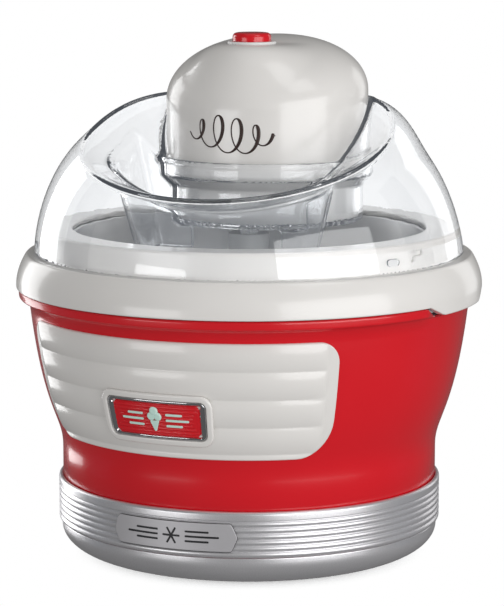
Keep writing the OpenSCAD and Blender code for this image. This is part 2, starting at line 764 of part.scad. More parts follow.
module motor_base() color("lightgray") translate([0, 0, unit_z]) difference() {
    union() {
        translate([0, motor_back, 0]) cylinder(r = plug_r - motor_wall - 0.2, h = base_plate_t);
        for (p = pillar_places) translate([p[0], motor_back + p[1], 0]) cylinder(r = 3.4, h = gear_plate_z - unit_z);
        cylinder(r = bush_r + 2.5, h = base_plate_t + 3);
        translate([idler_x, idler_y, 0]) cylinder(r = 3.4, h = base_plate_t + 1);
    }
    translate([0, 0, -1]) cylinder(r = bush_r, h = 10);
    translate([idler_x, idler_y, 1]) cylinder(r = idler_pin_r, h = 5);
    for (p = boss_places) translate([p[0], motor_back + p[1], -1]) cylinder(r = 1.7, h = 6);
    for (p = pillar_places) translate([p[0], motor_back + p[1], 6]) cylinder(r = 1.2, h = 20);
}

module unit_screws() color("silver") for (p = boss_places)
    translate([p[0], motor_back + p[1], unit_z - seat_t + 0.5]) {
        cylinder(r = 2.4, h = seat_t - 0.5);
        cylinder(r = 1.3, h = seat_t + 14);
    }

module button_ring() color("white") translate([0, button_y, button_ring_z]) difference() {
    turned([[0, 0], [button_ring_r, 0], [button_ring_r, button_ring_h - 0.8],
        [button_ring_r - 0.8, button_ring_h], [0, button_ring_h]]);
    translate([0, 0, -1]) cylinder(r = button_r + 0.2, h = button_ring_h + 2);
}

module push_button() color(red) translate([0, button_y, 0]) {
    turned([[0, button_top_z - button_h], [button_r, button_top_z - button_h], [button_r, button_top_z - 1.6],
        [button_r - 0.4, button_top_z - 0.7], [button_r - 1.2, button_top_z - 0.15],
        [button_r - 2.2, button_top_z], [0, button_top_z]]);
    translate([0, 0, button_ring_z - 0.3 - button_flange_t]) {
        cylinder(r = button_flange_r, h = button_flange_t);
        cylinder(r = button_r - 1, h = button_top_z - button_h - button_ring_z + 0.3 + button_flange_t + 1);
    }
}

stem_top_z = button_ring_z - 0.3 - button_flange_t;
stem_bottom_z = switch_z + switch_h - 2;
module button_stem() color("ivory") translate([0, button_y, stem_bottom_z])
    cylinder(r = stem_r, h = stem_top_z - stem_bottom_z);

// Coil of the return spring
module button_spring() color("silver") {
    turns = 4;
    sides = 6;
    per_turn = 14;
    wire_r = 0.4;
    coil_r = 5.5;
    low = switch_z + switch_h + wire_r + 0.1;
    high = stem_top_z - wire_r - 0.1;
    count = turns * per_turn;
    points = [for (i = [0 : count]) let (a = 360 * i / per_turn, z = low + (high - low) * i / count)
        for (k = [0 : sides - 1]) let (b = 360 * k / sides, r = coil_r + wire_r * cos(b))
            [r * cos(a), r * sin(a) + button_y, z + wire_r * sin(b)]];
    faces = concat([[for (k = [0 : sides - 1]) k]],
        [for (i = [0 : count - 1]) for (k = [0 : sides - 1]) let (n = (k + 1) % sides)
            each [[i * sides + k, (i + 1) * sides + k, (i + 1) * sides + n],
                  [i * sides + k, (i + 1) * sides + n, i * sides + n]]],
        [[for (k = [sides - 1 : -1 : 0]) count * sides + k]]);
    polyhedron(points, faces);
}

module cord_gland() color("lightgray") translate([0, motor_back + motor_r, gland_z]) rotate([-90, 0, 0])
    difference() {
        union() {
            translate([0, 0, 0.2]) cylinder(r1 = gland_r, r2 = gland_r - 1, h = 3.2);
            translate([0, 0, -6]) cylinder(r = gland_hole_r - 0.05, h = 7);
        }
        translate([0, 0, -8]) cylinder(r = gland_bore_r, h = 14);
    }

module gear_plate() color("lightsteelblue") translate([0, 0, gear_plate_z]) difference() {
    translate([0, motor_back, 0]) cylinder(r = gear_plate_r, h = gear_plate_t);
    translate([0, 0, -1]) {
        cylinder(r = shaft_r + run_gap, h = 5);
        translate([idler_x, idler_y, 0]) cylinder(r = idler_pin_r, h = 5);
        translate([0, rotor_y, 0]) cylinder(r = 3, h = 5);
        for (p = boss_places) translate([p[0], motor_back + p[1], 0]) cylinder(r = boss_r + 0.5, h = 5);
        for (p = pillar_places) translate([p[0], motor_back + p[1], 0]) cylinder(r = 1.3, h = 5);
    }
}

module plate_screws() color("silver") for (p = pillar_places)
    translate([p[0], motor_back + p[1], gear_plate_z - 7]) {
        cylinder(r = 1.2, h = 7 + gear_plate_t + 1);
        translate([0, 0, 7 + gear_plate_t]) cylinder(r = 2.4, h = 1.6);
    }

module motor_can() color("silver") translate([0, rotor_y, can_z]) difference() {
    cylinder(r = can_r, h = can_h);
    translate([0, 0, can_wall]) cylinder(r = can_r - can_wall, h = can_h - 2 * can_wall);
    translate([0, 0, -1]) cylinder(r = 4.5, h = can_h + 2);
}

module stator_coil() color("orange") translate([0, rotor_y, can_z + can_wall + 0.2])
    tube(can_r - can_wall - 0.2, 17, can_h - 2 * can_wall - 0.4);

module rotor_magnet() color("dimgray") translate([0, rotor_y, can_z + 4])
    tube(15.5, rotor_shaft_r, can_h - 8);

module rotor_shaft() color("silver") translate([0, rotor_y, fast_z - 0.6])
    cylinder(r = rotor_shaft_r, h = can_z + can_h - fast_z + 0.4);

module rotor_bushes() color("goldenrod") translate([0, rotor_y, 0]) {
    translate([0, 0, can_z - gear_plate_t]) tube(2.95, rotor_shaft_r + run_gap, gear_plate_t + 1.5);
    translate([0, 0, can_z + can_h - 2.2]) tube(4.45, rotor_shaft_r + run_gap, 3);
}

module rotor_pinion() color("goldenrod") translate([0, rotor_y, fast_z - 0.4])
    rotate(fast_angle + 180 + 180 / pinion_teeth)
        gear(pinion_teeth, module_fast, fast_t + 0.8, rotor_shaft_r);

module idler_gear() color("ivory") translate([idler_x, idler_y, 0]) {
    translate([0, 0, fast_z]) rotate(fast_angle) gear(wheel_teeth, module_fast, fast_t, idler_pin_r + run_gap);
    translate([0, 0, fast_z + fast_t]) rotate(slow_angle + 180 + 180 / pinion_teeth)
        gear(pinion_teeth, module_slow, slow_z + slow_t + 0.6 - fast_z - fast_t, idler_pin_r + run_gap);
}

module idler_pin() color("silver") translate([idler_x, idler_y, unit_z + 1])
    cylinder(r = idler_pin_r, h = gear_plate_z + gear_plate_t - unit_z - 1);

module output_gear() color("ivory") translate([0, 0, slow_z]) rotate(slow_angle)
    gear(wheel_teeth, module_slow, slow_t, shaft_r);

module output_shaft() color("silver") {
    translate([0, 0, unit_z - 3]) cylinder(r = shaft_r, h = gear_plate_z + gear_plate_t - 0.3 - unit_z + 3);
    translate([0, 0, drive_tip_z]) intersection() {
        cylinder(r = drive_af / 2 / cos(30), h = unit_z - 3 - drive_tip_z, $fn = 6);
        turned([[0, 0], [drive_af / 2 - 0.6, 0], [drive_af / 2 + 0.8, 1.6],
            [drive_af / 2 + 0.8, unit_z - 3 - drive_tip_z], [0, unit_z - 3 - drive_tip_z]]);
    }
}

module shaft_clip() color("dimgray") translate([0, 0, slow_z + slow_t])
    tube(shaft_r + 2.4, shaft_r, 1.2);

module output_bush() color("goldenrod") translate([0, 0, unit_z])
    tube(bush_r - 0.01, shaft_r + run_gap, base_plate_t + 3);

module switch_bracket() color("silver") translate([-switch_w / 2, 4, can_z + can_h]) difference() {
    cube([switch_w, 9, bracket_h + 1]);
    translate([2, -1, 2]) cube([switch_w - 4, 11, bracket_h - 3]);
}

module switch_body() color("dimgray") translate([-switch_w / 2, button_y - switch_d / 2, switch_z])
    difference() {
        cube([switch_w, switch_d, switch_h]);
        translate([switch_w / 2, switch_d / 2, 5]) cylinder(r = stem_r + 0.2, h = switch_h);
    }

module terminal_block() color("white") translate([-9, 36, can_z + can_h]) difference() {
    cube([18, 11, 9]);
    for (x = [4.5, 13.5]) translate([x, -1, 5]) rotate([-90, 0, 0]) cylinder(r = 1.8, h = 13);
}

// ---- Paddle ----

// One side of the blade, which follows the bowl's wall up to a height
module blade_side(top_z) intersection() {
    polygon(concat([[0, hub_bottom_z]],
        arc([bowl_floor_r - bowl_corner_r - scrape_gap, hub_bottom_z + bowl_corner_r], bowl_corner_r, -90, -6),
        [[bowl_r - scrape_gap - 2, ring_z], [0, ring_z]]));
    translate([0, hub_bottom_z]) square([bowl_r, top_z - hub_bottom_z]);
}

// Window between the hub and the rim of one blade
module blade_window(reach, top_z) polygon(rounded([
    [window_in, hub_bottom_z + window_low], [reach, hub_bottom_z + window_low],
    [reach + 5, top_z - 12], [window_in, top_z - 12]], [5, 8, 8, 5]));

module paddle() color("white") difference() {
    union() {
        translate([0, 0, hub_bottom_z]) cylinder(r = hub_r, h = hub_top_z - hub_bottom_z);
        translate([0, blade_t / 2, 0]) rotate([90, 0, 0]) linear_extrude(blade_t) difference() {
            union() {
                blade_side(blade_top_z);
                mirror([1, 0]) blade_side(short_blade_top_z);
            }
            blade_window(window_reach, blade_top_z);
            mirror([1, 0]) blade_window(window_reach - 2, short_blade_top_z);
        }
    }
    translate([0, 0, hub_bottom_z - 5]) cylinder(r = pivot_r + run_gap, h = pivot_h + 6);
    translate([0, 0, hub_top_z - socket_depth])
        cylinder(r = (drive_af / 2 + 0.25) / cos(30), h = socket_depth + 1, $fn = 6);
}

base_shell();
base_cover();
feet();
base_screws();
rib_band();
name_plate();
body_shell();
body_liner();
front_panel();
badge_bezel();
badge_plate();
badge_emblem();
bowl_rim();
bowl_outer();
bowl_inner();
coolant_gel();
fill_plug();
lid_shell();
lid_chute();
motor_cup();
motor_housing();
motor_base();
unit_screws();
button_ring();
cord_gland();
gear_plate();
plate_screws();
motor_can();
stator_coil();
output_bush();
rotor_bushes();
idler_pin();
switch_bracket();
switch_body();
terminal_block();
push_button();
button_stem();
button_spring();
rotor_magnet();
rotor_shaft();
rotor_pinion();
idler_gear();
output_gear();
output_shaft();
shaft_clip();
paddle();
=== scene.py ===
"""Looks of a table-top ice cream maker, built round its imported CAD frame."""

import json
import math

import bmesh
import bpy
import numpy as np
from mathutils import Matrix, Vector


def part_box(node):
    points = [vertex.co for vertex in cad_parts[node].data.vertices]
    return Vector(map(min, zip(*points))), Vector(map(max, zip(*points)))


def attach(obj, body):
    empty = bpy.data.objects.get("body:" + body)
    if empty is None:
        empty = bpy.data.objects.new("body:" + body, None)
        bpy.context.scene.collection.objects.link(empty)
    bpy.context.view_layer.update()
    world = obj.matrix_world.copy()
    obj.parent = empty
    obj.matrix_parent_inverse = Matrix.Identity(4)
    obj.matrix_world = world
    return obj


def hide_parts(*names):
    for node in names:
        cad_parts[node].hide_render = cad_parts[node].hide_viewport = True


bl_info = {
    "name": "Ice cream maker",
    "version": (1, 0, 0),
    "blender": (4, 5, 0),
    "location": "View3D > Sidebar > Ice cream maker",
    "description": "Builds the visible pieces of a table-top ice cream maker round its frame",
    "category": "Object",
}

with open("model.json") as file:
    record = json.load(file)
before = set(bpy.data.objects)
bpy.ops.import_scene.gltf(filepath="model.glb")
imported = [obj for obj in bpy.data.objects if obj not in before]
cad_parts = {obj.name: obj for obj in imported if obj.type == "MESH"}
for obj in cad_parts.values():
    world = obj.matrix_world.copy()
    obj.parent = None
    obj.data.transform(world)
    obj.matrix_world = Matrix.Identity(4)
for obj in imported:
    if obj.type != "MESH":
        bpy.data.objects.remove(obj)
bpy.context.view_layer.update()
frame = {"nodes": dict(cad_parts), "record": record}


# ---- Places taken from the frame ----


def low(node):
    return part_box(node)[0]


def high(node):
    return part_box(node)[1]


BASE_Z = low("base_shell").z
BAND_Z = low("rib_band").z
BODY_Z = high("rib_band").z
RIM_Z = high("body_shell").z
RING_Z = high("bowl_rim").z
RING_H = 0.013
DECK_Z = RING_Z - RING_H
LID_Z = low("lid_shell").z
BAND_R = high("rib_band").x
LIP_R = high("body_shell").y
COLLAR_R = high("bowl_rim").y
LID_R = high("lid_shell").x
BUTTON_Y = (low("push_button").y + high("push_button").y) / 2
UNIT_Y = (low("motor_base").y + high("motor_base").y) / 2
UNIT_Z = low("motor_base").z
UNIT_R = high("motor_housing").x
BUTTON_TOP = high("push_button").z
RING_TOP = high("button_ring").z
BUTTON_WELL_R = 0.0124
CUP_TOP = UNIT_Z + 0.0306
LOCK_R = LID_R - 0.0037
VIEW_TURN = math.radians(25)
AIM_Z = 0.15


# ---- Sizes and colours that a user would change ----


def amount(name, text, default, **settings):
    return bpy.props.FloatProperty(name=name, description=text, default=default, **settings)


def length(name, text, metres):
    return amount(name, text, metres, unit="LENGTH", precision=4)


def angle(name, text, degrees):
    return amount(name, text, math.radians(degrees), subtype="ANGLE")


def count(name, text, default):
    return bpy.props.IntProperty(name=name, description=text, default=default)


def colour(name, text, rgb):
    return bpy.props.FloatVectorProperty(
        name=name, description=text, default=rgb, size=3, subtype="COLOR", min=0, max=1
    )


class HolderSizes(bpy.types.PropertyGroup):
    wall: length("Wall", "Thickness of the holder's wall", 0.0028)
    foot_r: length("Foot radius", "Radius of the straight part at the holder's foot", BAND_R - 0.0022)
    straight_h: length("Straight height", "Height of the straight part at the foot", 0.0145)
    cove_h: length("Cove", "Height over which the wall turns outwards", 0.017)
    mouth_lean: length("Lean", "How much the mouth is wider than the curve's last handle", 0.0065)
    lip_h: length("Lip height", "Height of the lip at the mouth", 0.0065)
    lip_out: length("Lip width", "How far the lip stands out", 0.0055)
    tab_half: angle("Tab angle", "Half of the angle of a grip tab", 17)
    tab_slope: angle("Tab slope", "Angle over which the tab's end slopes up", 5.5)
    tab_drop: length("Tab drop", "How far a grip tab reaches down", 0.0044)
    band_top: length("Band rim", "Height of the smooth rim on top of the ribs", 0.0045)
    rib_depth: length("Rib depth", "Depth of the grooves between the ribs", 0.0009)
    rib_count: count("Ribs", "Number of ribs on the band", 6)


class PanelSizes(bpy.types.PropertyGroup):
    half: angle("Half angle", "Half of the angle that the panel spans", 48)
    rise: length("Rise", "Lowest point of the panel above the band", 0.0255)
    height: length("Height", "Height of the panel", 0.059)
    thickness: length("Thickness", "Thickness of the panel", 0.0008)
    ridge_pitch: length("Ridge height", "Height of one broad ridge", 0.014)
    ridge_out: length("Ridge depth", "How far a ridge stands out", 0.0013)
    badge_w: length("Badge width", "Width of the badge inside its frame", 0.055)
    badge_h: length("Badge height", "Height of the badge inside its frame", 0.020)
    badge_rise: length("Badge rise", "Middle of the badge above the band", 0.0455)
    border: length("Badge border", "Width of the raised frame round the badge", 0.0034)
    plate_w: length("Name plate width", "Width of the plate on the band", 0.066)
    plate_h: length("Name plate height", "Height of the plate on the band", 0.0138)
    plate_turn: angle("Name plate turn", "How far the name plate sits towards +X", 2.4)


class LidSizes(bpy.types.PropertyGroup):
    wall: length("Wall", "Thickness of the clear lid", 0.0022)
    dome_h: length("Dome height", "Height of the lid's dome", 0.0754)
    hood_h: length("Hood height", "Height of the hood round the motor unit", 0.0759)
    hood_round: length("Hood shoulder", "Radius of the hood's shoulder", 0.0235)
    hood_back: length("Hood centre", "Distance of the hood's centre behind the bowl's centre", 0.010)
    fold_z: length("Fold height", "Height of the hollow's rim plane above the bowl's axis", 0.2252)
    tilt: angle("Tilt", "Tilt of the pouring hollow's rim", 18.3)
    turn: angle("Turn", "Turn of the hollow about the bowl's axis", 10.3)
    slope: angle("Slope", "Slope of the hollow's wall", 34)
    hollow_r: length("Hollow radius", "Radius of the hollow's rim", 0.080)
    shift: length("Hollow shift", "How far the hollow is off the bowl's axis", 0.025)
    lean: length("Lean", "How far the dome's middle moves towards the front left as it rises", 0.0012)
    lean_h: length("Lean height", "Height over which most of the lean happens", 0.025)
    fillet: length("Fold rounding", "Rounding of the folds in the clear lid", 0.0006)
    chute_half: length("Chute half width", "Half of the chute's width at its foot", 0.042)
    chute_r: length("Chute radius", "Radius of the chute's front wall at its foot", 0.060)
    grid: length("Mesh size", "Edge length of the lid's mesh", 0.0011)


class UnitSizes(bpy.types.PropertyGroup):
    wall: length("Wall", "Thickness of the motor housing", 0.0024)
    plug_r: length("Plug radius", "Radius of the plug under the housing", 0.0464)
    plug_h: length("Plug height", "Height of the plug", 0.0175)
    shoulder_h: length("Shoulder", "Height of the sloping shoulder", 0.006)
    side_h: length("Side height", "Height of the straight side in the middle", 0.0615)
    crown_h: length("Crown height", "Height of the domed top", 0.029)
    crown_tilt: amount("Crown tilt", "Rise of the top per metre towards the back", 0.11)
    crown_power: amount("Crown fullness", "Exponent of the top's outline", 2.3)
    ring_proud: length("Ring stands proud", "How far the button's ring stands above the top", 0.0012)
    swell_r: length("Swell radius", "Where the swell round the button's ring runs out", 0.034)
    motif_w: length("Flourish width", "Width of the printed flourish", 0.048)
    motif_turn: angle("Flourish turn", "How far the flourish sits towards +X", 3)
    motif_h: length("Flourish height", "Height of the printed flourish", 0.018)


class Colours(bpy.types.PropertyGroup):
    red: colour("Red", "Glossy red plastic", (0.66, 0.008, 0.016))
    ivory: colour("Ivory", "Glossy warm white plastic", (0.76, 0.74, 0.715))
    silver: colour("Silver", "Metallic silver paint", (0.86, 0.85, 0.875))
    clear: colour("Clear", "Clear plastic", (0.980, 0.986, 0.992))
    aluminium: colour("Aluminium", "Satin bowl", (0.60, 0.60, 0.60))
    grey: colour("Grey", "Grey plastic", (0.42, 0.42, 0.43))
    dark: colour("Dark", "Black plastic", (0.018, 0.018, 0.020))
    mint: colour("Mint", "Pale enamel of the emblem", (0.60, 0.82, 0.74))
    brown: colour("Brown", "Print on the housing", (0.030, 0.012, 0.008))


GROUPS = {
    "maker_holder": HolderSizes,
    "maker_panel": PanelSizes,
    "maker_lid": LidSizes,
    "maker_unit": UnitSizes,
    "maker_colours": Colours,
}


# ---- Shader maths ----


class Value:
    """A shader socket that takes part in Python arithmetic."""

    def __init__(self, wiring, socket):
        self.wiring = wiring
        self.socket = socket

    def maths(self, operation, *others):
        return self.wiring.node("ShaderNodeMath", {"operation": operation}, [self, *others])

    def __add__(self, other):
        return self.maths("ADD", other)

    def __sub__(self, other):
        return self.maths("SUBTRACT", other)

    def __rsub__(self, other):
        return self.wiring.node("ShaderNodeMath", {"operation": "SUBTRACT"}, [other, self])

    def __mul__(self, other):
        return self.maths("MULTIPLY", other)

    __radd__ = __add__
    __rmul__ = __mul__


class Wiring:
    """A node tree that nodes are added to."""

    def __init__(self, tree):
        self.tree = tree

    def node(self, kind, settings=None, inputs=(), output=0):
        """Adds a node: its settings first, then values or links on its sockets."""
        made = self.tree.nodes.new(kind)
        for key, value in (settings or {}).items():
            setattr(made, key, value)
        pairs = inputs.items() if isinstance(inputs, dict) else enumerate(inputs)
        for key, value in pairs:
            if isinstance(value, Value):
                self.tree.links.new(value.socket, made.inputs[key])
            else:
                made.inputs[key].default_value = value
        return Value(self, made.outputs[output])


class Finish(Wiring):
    """A node material with one Principled shader."""

    def __init__(self, name, base, roughness, **constants):
        self.material = bpy.data.materials.new(name)
        self.material.use_nodes = True
        super().__init__(self.material.node_tree)
        self.shader = self.tree.nodes["Principled BSDF"]
        self.output = self.tree.nodes["Material Output"]
        self.shader.inputs["Base Color"].default_value = (*base, 1)
        self.shader.inputs["Roughness"].default_value = roughness
        for key, value in constants.items():
            self.shader.inputs[key.replace("_", " ")].default_value = value

    def feed(self, socket, value):
        self.tree.links.new(value.socket, self.shader.inputs[socket])

    def place(self):
        return self.node("ShaderNodeTexCoord", output=3)

    def stretched(self, scale):
        return self.node("ShaderNodeMapping", {}, {"Vector": self.place(), "Scale": scale})

    def noise(self, scale, detail=3.0, where=None):
        inputs = {"Vector": where or self.place(), "Scale": scale, "Detail": detail}
        return self.node("ShaderNodeTexNoise", {}, inputs)

    def mix(self, share, a, b):
        """Mixes two plain colours."""
        return self.node("ShaderNodeMix", {"data_type": "RGBA"}, {0: share, 6: (*a, 1), 7: (*b, 1)}, output=2)

    def bump(self, height, strength, distance):
        inputs = {"Strength": strength, "Distance": distance, "Height": height}
        self.feed("Normal", self.node("ShaderNodeBump", {}, inputs))

    def vary(self, base, spread, scale, roughness, rough_spread):
        """Slight mottling of the colour and the gloss, as moulded plastic has."""
        cloud = self.noise(scale)
        self.feed("Base Color", self.mix(cloud, shaded(base, 1 - spread), base))
        self.feed("Roughness", cloud * rough_spread + (roughness - rough_spread / 2))


def shaded(colour, share):
    return tuple(c * share for c in colour)


def moulded(name, base, roughness, grain, coat=0.0):
    """Moulded plastic with a fine grain."""
    made = Finish(name, base, roughness, Coat_Weight=coat, Coat_Roughness=0.06, IOR=1.5)
    made.vary(base, 0.05, 34.0, roughness, 0.06)
    made.bump(made.noise(2600.0, 2.0), grain, 0.00003)
    return made.material


def silver_paint(base):
    """Metallic paint: fine flakes under a satin coat."""
    made = Finish("silver_paint", base, 0.36, Coat_Weight=0.25, Coat_Roughness=0.2)
    cells = made.node("ShaderNodeTexVoronoi", {}, {"Vector": made.place(), "Scale": 4200.0}, output=1)
    flakes = made.node("ShaderNodeSeparateColor", {}, {"Color": cells})
    made.feed("Base Color", made.mix(flakes, shaded(base, 0.86), base))
    made.feed("Metallic", flakes * 0.15 + 0.66)
    made.feed("Roughness", made.noise(60.0) * 0.08 + 0.30)
    made.bump(flakes, 0.10, 0.00003)
    return made.material


def brushed(name, base, roughness, stretch, metallic=1.0):
    """Metal with fine lines left by brushing or turning."""
    made = Finish(name, base, roughness, Metallic=metallic)
    lines = made.noise(900.0, 3.0, made.stretched(stretch))
    made.feed("Base Color", made.mix(lines, shaded(base, 0.84), base))
    made.feed("Roughness", lines * 0.16 + (roughness - 0.08))
    made.bump(lines, 0.12, 0.00004)
    return made.material


def chromed():
    """Bright plating with a faint unevenness."""
    made = Finish("bright_metal", (0.80, 0.80, 0.82), 0.08, Metallic=1.0)
    made.feed("Roughness", made.noise(120.0) * 0.06 + 0.05)
    made.bump(made.noise(300.0), 0.04, 0.00003)
    return made.material


def clear_plastic(base):
    """Clear plastic that lets lamps through, with faint flow marks from moulding and a faint painted
    blue-grey glow.
    """
    # The faint blue-grey emission is a painted glow: it lightens the lid where its paths would otherwise run
    # dark, as along its edges.
    made = Finish("clear_plastic", base, 0.015, Transmission_Weight=1.0, IOR=1.46,
                  Emission_Color=(0.78, 0.86, 1.0, 1.0), Emission_Strength=0.012)
    flow = made.noise(9.0, 2.0, made.stretched((1.0, 1.0, 0.35)))
    made.feed("Roughness", flow * 0.02)
    made.bump(flow, 0.05, 0.0006)
    rays = made.node("ShaderNodeLightPath", output=1)
    through = made.node("ShaderNodeBsdfTransparent", {}, {"Color": (*shaded(base, 0.74), 1)})
    own = Value(made, made.shader.outputs[0])
    both = made.node("ShaderNodeMixShader", {}, [rays, own, through])
    made.tree.links.new(both.socket, made.output.inputs["Surface"])
    return made.material


def soft_rubber(base):
    """Matt rubber with a coarse skin."""
    made = Finish("foot_rubber", base, 0.75)
    made.vary(base, 0.25, 90.0, 0.75, 0.12)
    made.bump(made.noise(1500.0), 0.3, 0.00006)
    return made.material


def wound_wire():
    """Enamelled wire laid in turns, darker in the grooves between them as painted shade."""
    base = (0.45, 0.16, 0.06)
    made = Finish("copper_coil", base, 0.34, Metallic=0.85)
    waves = made.node(
        "ShaderNodeTexWave",
        {"bands_direction": "Z", "wave_profile": "SIN"},
        {"Vector": made.place(), "Scale": 420.0, "Distortion": 0.4},
        output=1,
    )
    # The darker copper in the grooves between the turns is painted shade.
    made.feed("Base Color", made.mix(waves, (0.20, 0.06, 0.03), base))
    made.bump(waves, 0.5, 0.0003)
    return made.material


def cold_gel():
    """Pale blue liquid inside the bowl's double wall."""
    base = (0.40, 0.62, 0.80)
    made = Finish("cold_gel", base, 0.25)
    made.vary(base, 0.2, 40.0, 0.25, 0.1)
    return made.material


def make_materials(colours):
    """One material for each of the record's slots, one for the print, and one dark ink that prints the frost
    star and also paints the shadow line round the name plate.
    """
    grain = (30.0, 30.0, 1.0)
    return {
        "red_plastic": moulded("red_plastic", colours.red, 0.22, 0.05, 0.35),
        "ivory_plastic": moulded("ivory_plastic", colours.ivory, 0.24, 0.05, 0.30),
        "white_plastic": moulded("white_plastic", (0.80, 0.80, 0.79), 0.36, 0.10),
        "silver_paint": silver_paint(colours.silver),
        "grey_plastic": moulded("grey_plastic", colours.grey, 0.42, 0.15),
        "dark_plastic": moulded("dark_plastic", colours.dark, 0.45, 0.20),
        "clear_plastic": clear_plastic(colours.clear),
        "brushed_plate": brushed("brushed_plate", (0.56, 0.55, 0.57), 0.42, (1.0, 1.0, 30.0), 0.4),
        "bright_metal": chromed(),
        "mint_enamel": moulded("mint_enamel", colours.mint, 0.25, 0.03, 0.3),
        "bowl_aluminium": brushed("bowl_aluminium", colours.aluminium, 0.46, grain, 0.9),
        "cold_gel": cold_gel(),
        "foot_rubber": soft_rubber((0.03, 0.03, 0.03)),
        "plated_steel": brushed("plated_steel", (0.56, 0.57, 0.58), 0.34, grain),
        "bronze": brushed("bronze", (0.55, 0.36, 0.16), 0.38, grain),
        "copper_coil": wound_wire(),
        "magnet": moulded("magnet", (0.05, 0.05, 0.055), 0.5, 0.3),
        "print": moulded("print", colours.brown, 0.5, 0.05),
        # Dark ink for the printed frost star, also used for the painted shadow line round the name plate.
        "ink_and_painted_shade": moulded("ink_and_painted_shade", (0.012, 0.012, 0.014), 0.4, 0.05),
    }


MATERIALS = {}


# ---- Outlines ----


def arc(centre, radius, start, end, steps=6):
    """Points of an arc, with its angles in degrees."""
    turns = np.radians(np.linspace(start, end, steps + 1))
    return [(centre[0] + radius * math.cos(t), centre[1] + radius * math.sin(t)) for t in turns]


def bezier(a, b, c, d, steps):
    t = np.linspace(0, 1, steps + 1)[:, None]
    a, b, c, d = (np.array(p, float) for p in (a, b, c, d))
    points = (1 - t) ** 3 * a + 3 * (1 - t) ** 2 * t * b + 3 * (1 - t) * t**2 * c + t**3 * d
    return [tuple(p) for p in points]


def softened(corners, steps=5, closed=True):
    """Outline with its corners rounded. A corner is (across, up, rounding); a plain pair stays as it is."""
    made = []
    total = len(corners)
    for i, corner in enumerate(corners):
        here = np.array(corner[:2], float)
        radius = corner[2] if len(corner) > 2 else 0
        ends = not closed and i in (0, total - 1)
        if radius <= 0 or ends:
            made.append(tuple(here))
            continue
        before = np.array(corners[i - 1][:2], float) - here
        after = np.array(corners[(i + 1) % total][:2], float) - here
        u = before / np.linalg.norm(before)
        v = after / np.linalg.norm(after)
        half = math.acos(max(-1.0, min(1.0, float(u @ v)))) / 2
        if half > math.radians(89):
            made.append(tuple(here))
            continue
        reach = radius / math.tan(half)
        centre = here + (u + v) / np.linalg.norm(u + v) * radius / math.sin(half)
        start = here + u * reach - centre
        finish = here + v * reach - centre
        first = math.atan2(start[1], start[0])
        sweep = math.atan2(finish[1], finish[0]) - first
        sweep = (sweep + math.pi) % (2 * math.pi) - math.pi
        for k in range(steps + 1):
            t = first + sweep * k / steps
            made.append((centre[0] + radius * math.cos(t), centre[1] + radius * math.sin(t)))
    return made


def rounded_box(half_w, half_h, rounding, middle=0.0, steps=8, upper=None):
    """Rounded rectangle, from its lower left corner round to its upper left."""
    upper = rounding if upper is None else upper
    signs = ((-1, -1, rounding), (1, -1, rounding), (1, 1, upper), (-1, 1, upper))
    corners = [(x * half_w, middle + y * half_h, r) for x, y, r in signs]
    return softened(corners, steps)


def evenly(outline, spacing):
    """The closed outline with points no further apart than spacing."""
    made = []
    for i, point in enumerate(outline):
        a = np.array(point, float)
        b = np.array(outline[(i + 1) % len(outline)], float)
        parts = max(1, math.ceil(np.linalg.norm(b - a) / spacing))
        made += [tuple(a + (b - a) * k / parts) for k in range(parts)]
    return np.array(made)


def inset(outline, distance):
    """The closed outline moved inwards, with its points kept in step."""
    p = np.asarray(outline, float)
    ahead = np.roll(p, -1, 0) - np.roll(p, 1, 0)
    normal = np.stack([-ahead[:, 1], ahead[:, 0]], 1)
    normal /= np.linalg.norm(normal, axis=1)[:, None]
    area = np.sum(p[:, 0] * np.roll(p[:, 1], -1) - np.roll(p[:, 0], -1) * p[:, 1])
    return p + normal * distance * (1 if area > 0 else -1)


def smooth_step(x):
    x = np.clip(x, 0, 1)
    return x * x * (3 - 2 * x)


# ---- Meshes ----


def linked(name, data):
    """A new object in the scene."""
    thing = bpy.data.objects.new(name, data)
    bpy.context.scene.collection.objects.link(thing)
    return thing


def smooth(mesh):
    mesh.polygons.foreach_set("use_smooth", [True] * len(mesh.polygons))


def round_axis(radius, turns, up, centre_y=0.0):
    """Points round an upright axis. Angle 0 is the front, and angles grow towards +X."""
    return np.stack([radius * np.sin(turns), centre_y - radius * np.cos(turns), up + 0 * turns], -1)


def mesh_object(name, verts, faces, weld=1e-6):
    """A closed mesh with its normals outwards and smooth shading."""
    mesh = bpy.data.meshes.new(name)
    mesh.from_pydata([tuple(map(float, v)) for v in verts], [], [tuple(map(int, f)) for f in faces])
    made = bmesh.new()
    made.from_mesh(mesh)
    bmesh.ops.remove_doubles(made, verts=made.verts, dist=weld)
    bmesh.ops.recalc_face_normals(made, faces=made.faces)
    made.to_mesh(mesh)
    made.free()
    smooth(mesh)
    return linked(name, mesh)


def settle(thing, body, slot, replaces=(), finish=None, weighted=True):
    """Gives a piece its finish, its body and the nodes it stands for."""
    thing.data.materials.clear()
    thing.data.materials.append(MATERIALS[finish or slot])
    if weighted:
        normals = thing.modifiers.new("even_normals", "WEIGHTED_NORMAL")
        normals.weight = 80
    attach(thing, body)
    if replaces:
        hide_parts(*replaces)


def grid_faces(rows, columns, close_rows=True, close_columns=True):
    """Quads of a grid of rows by columns, numbered row by row."""
    r = np.arange(rows if close_rows else rows - 1)
    c = np.arange(columns if close_columns else columns - 1)
    rr, cc = np.meshgrid(r, c, indexing="ij")
    nr, nc = (rr + 1) % rows, (cc + 1) % columns
    quads = np.stack([rr * columns + cc, rr * columns + nc, nr * columns + nc, nr * columns + cc], -1)
    return quads.reshape(-1, 4)


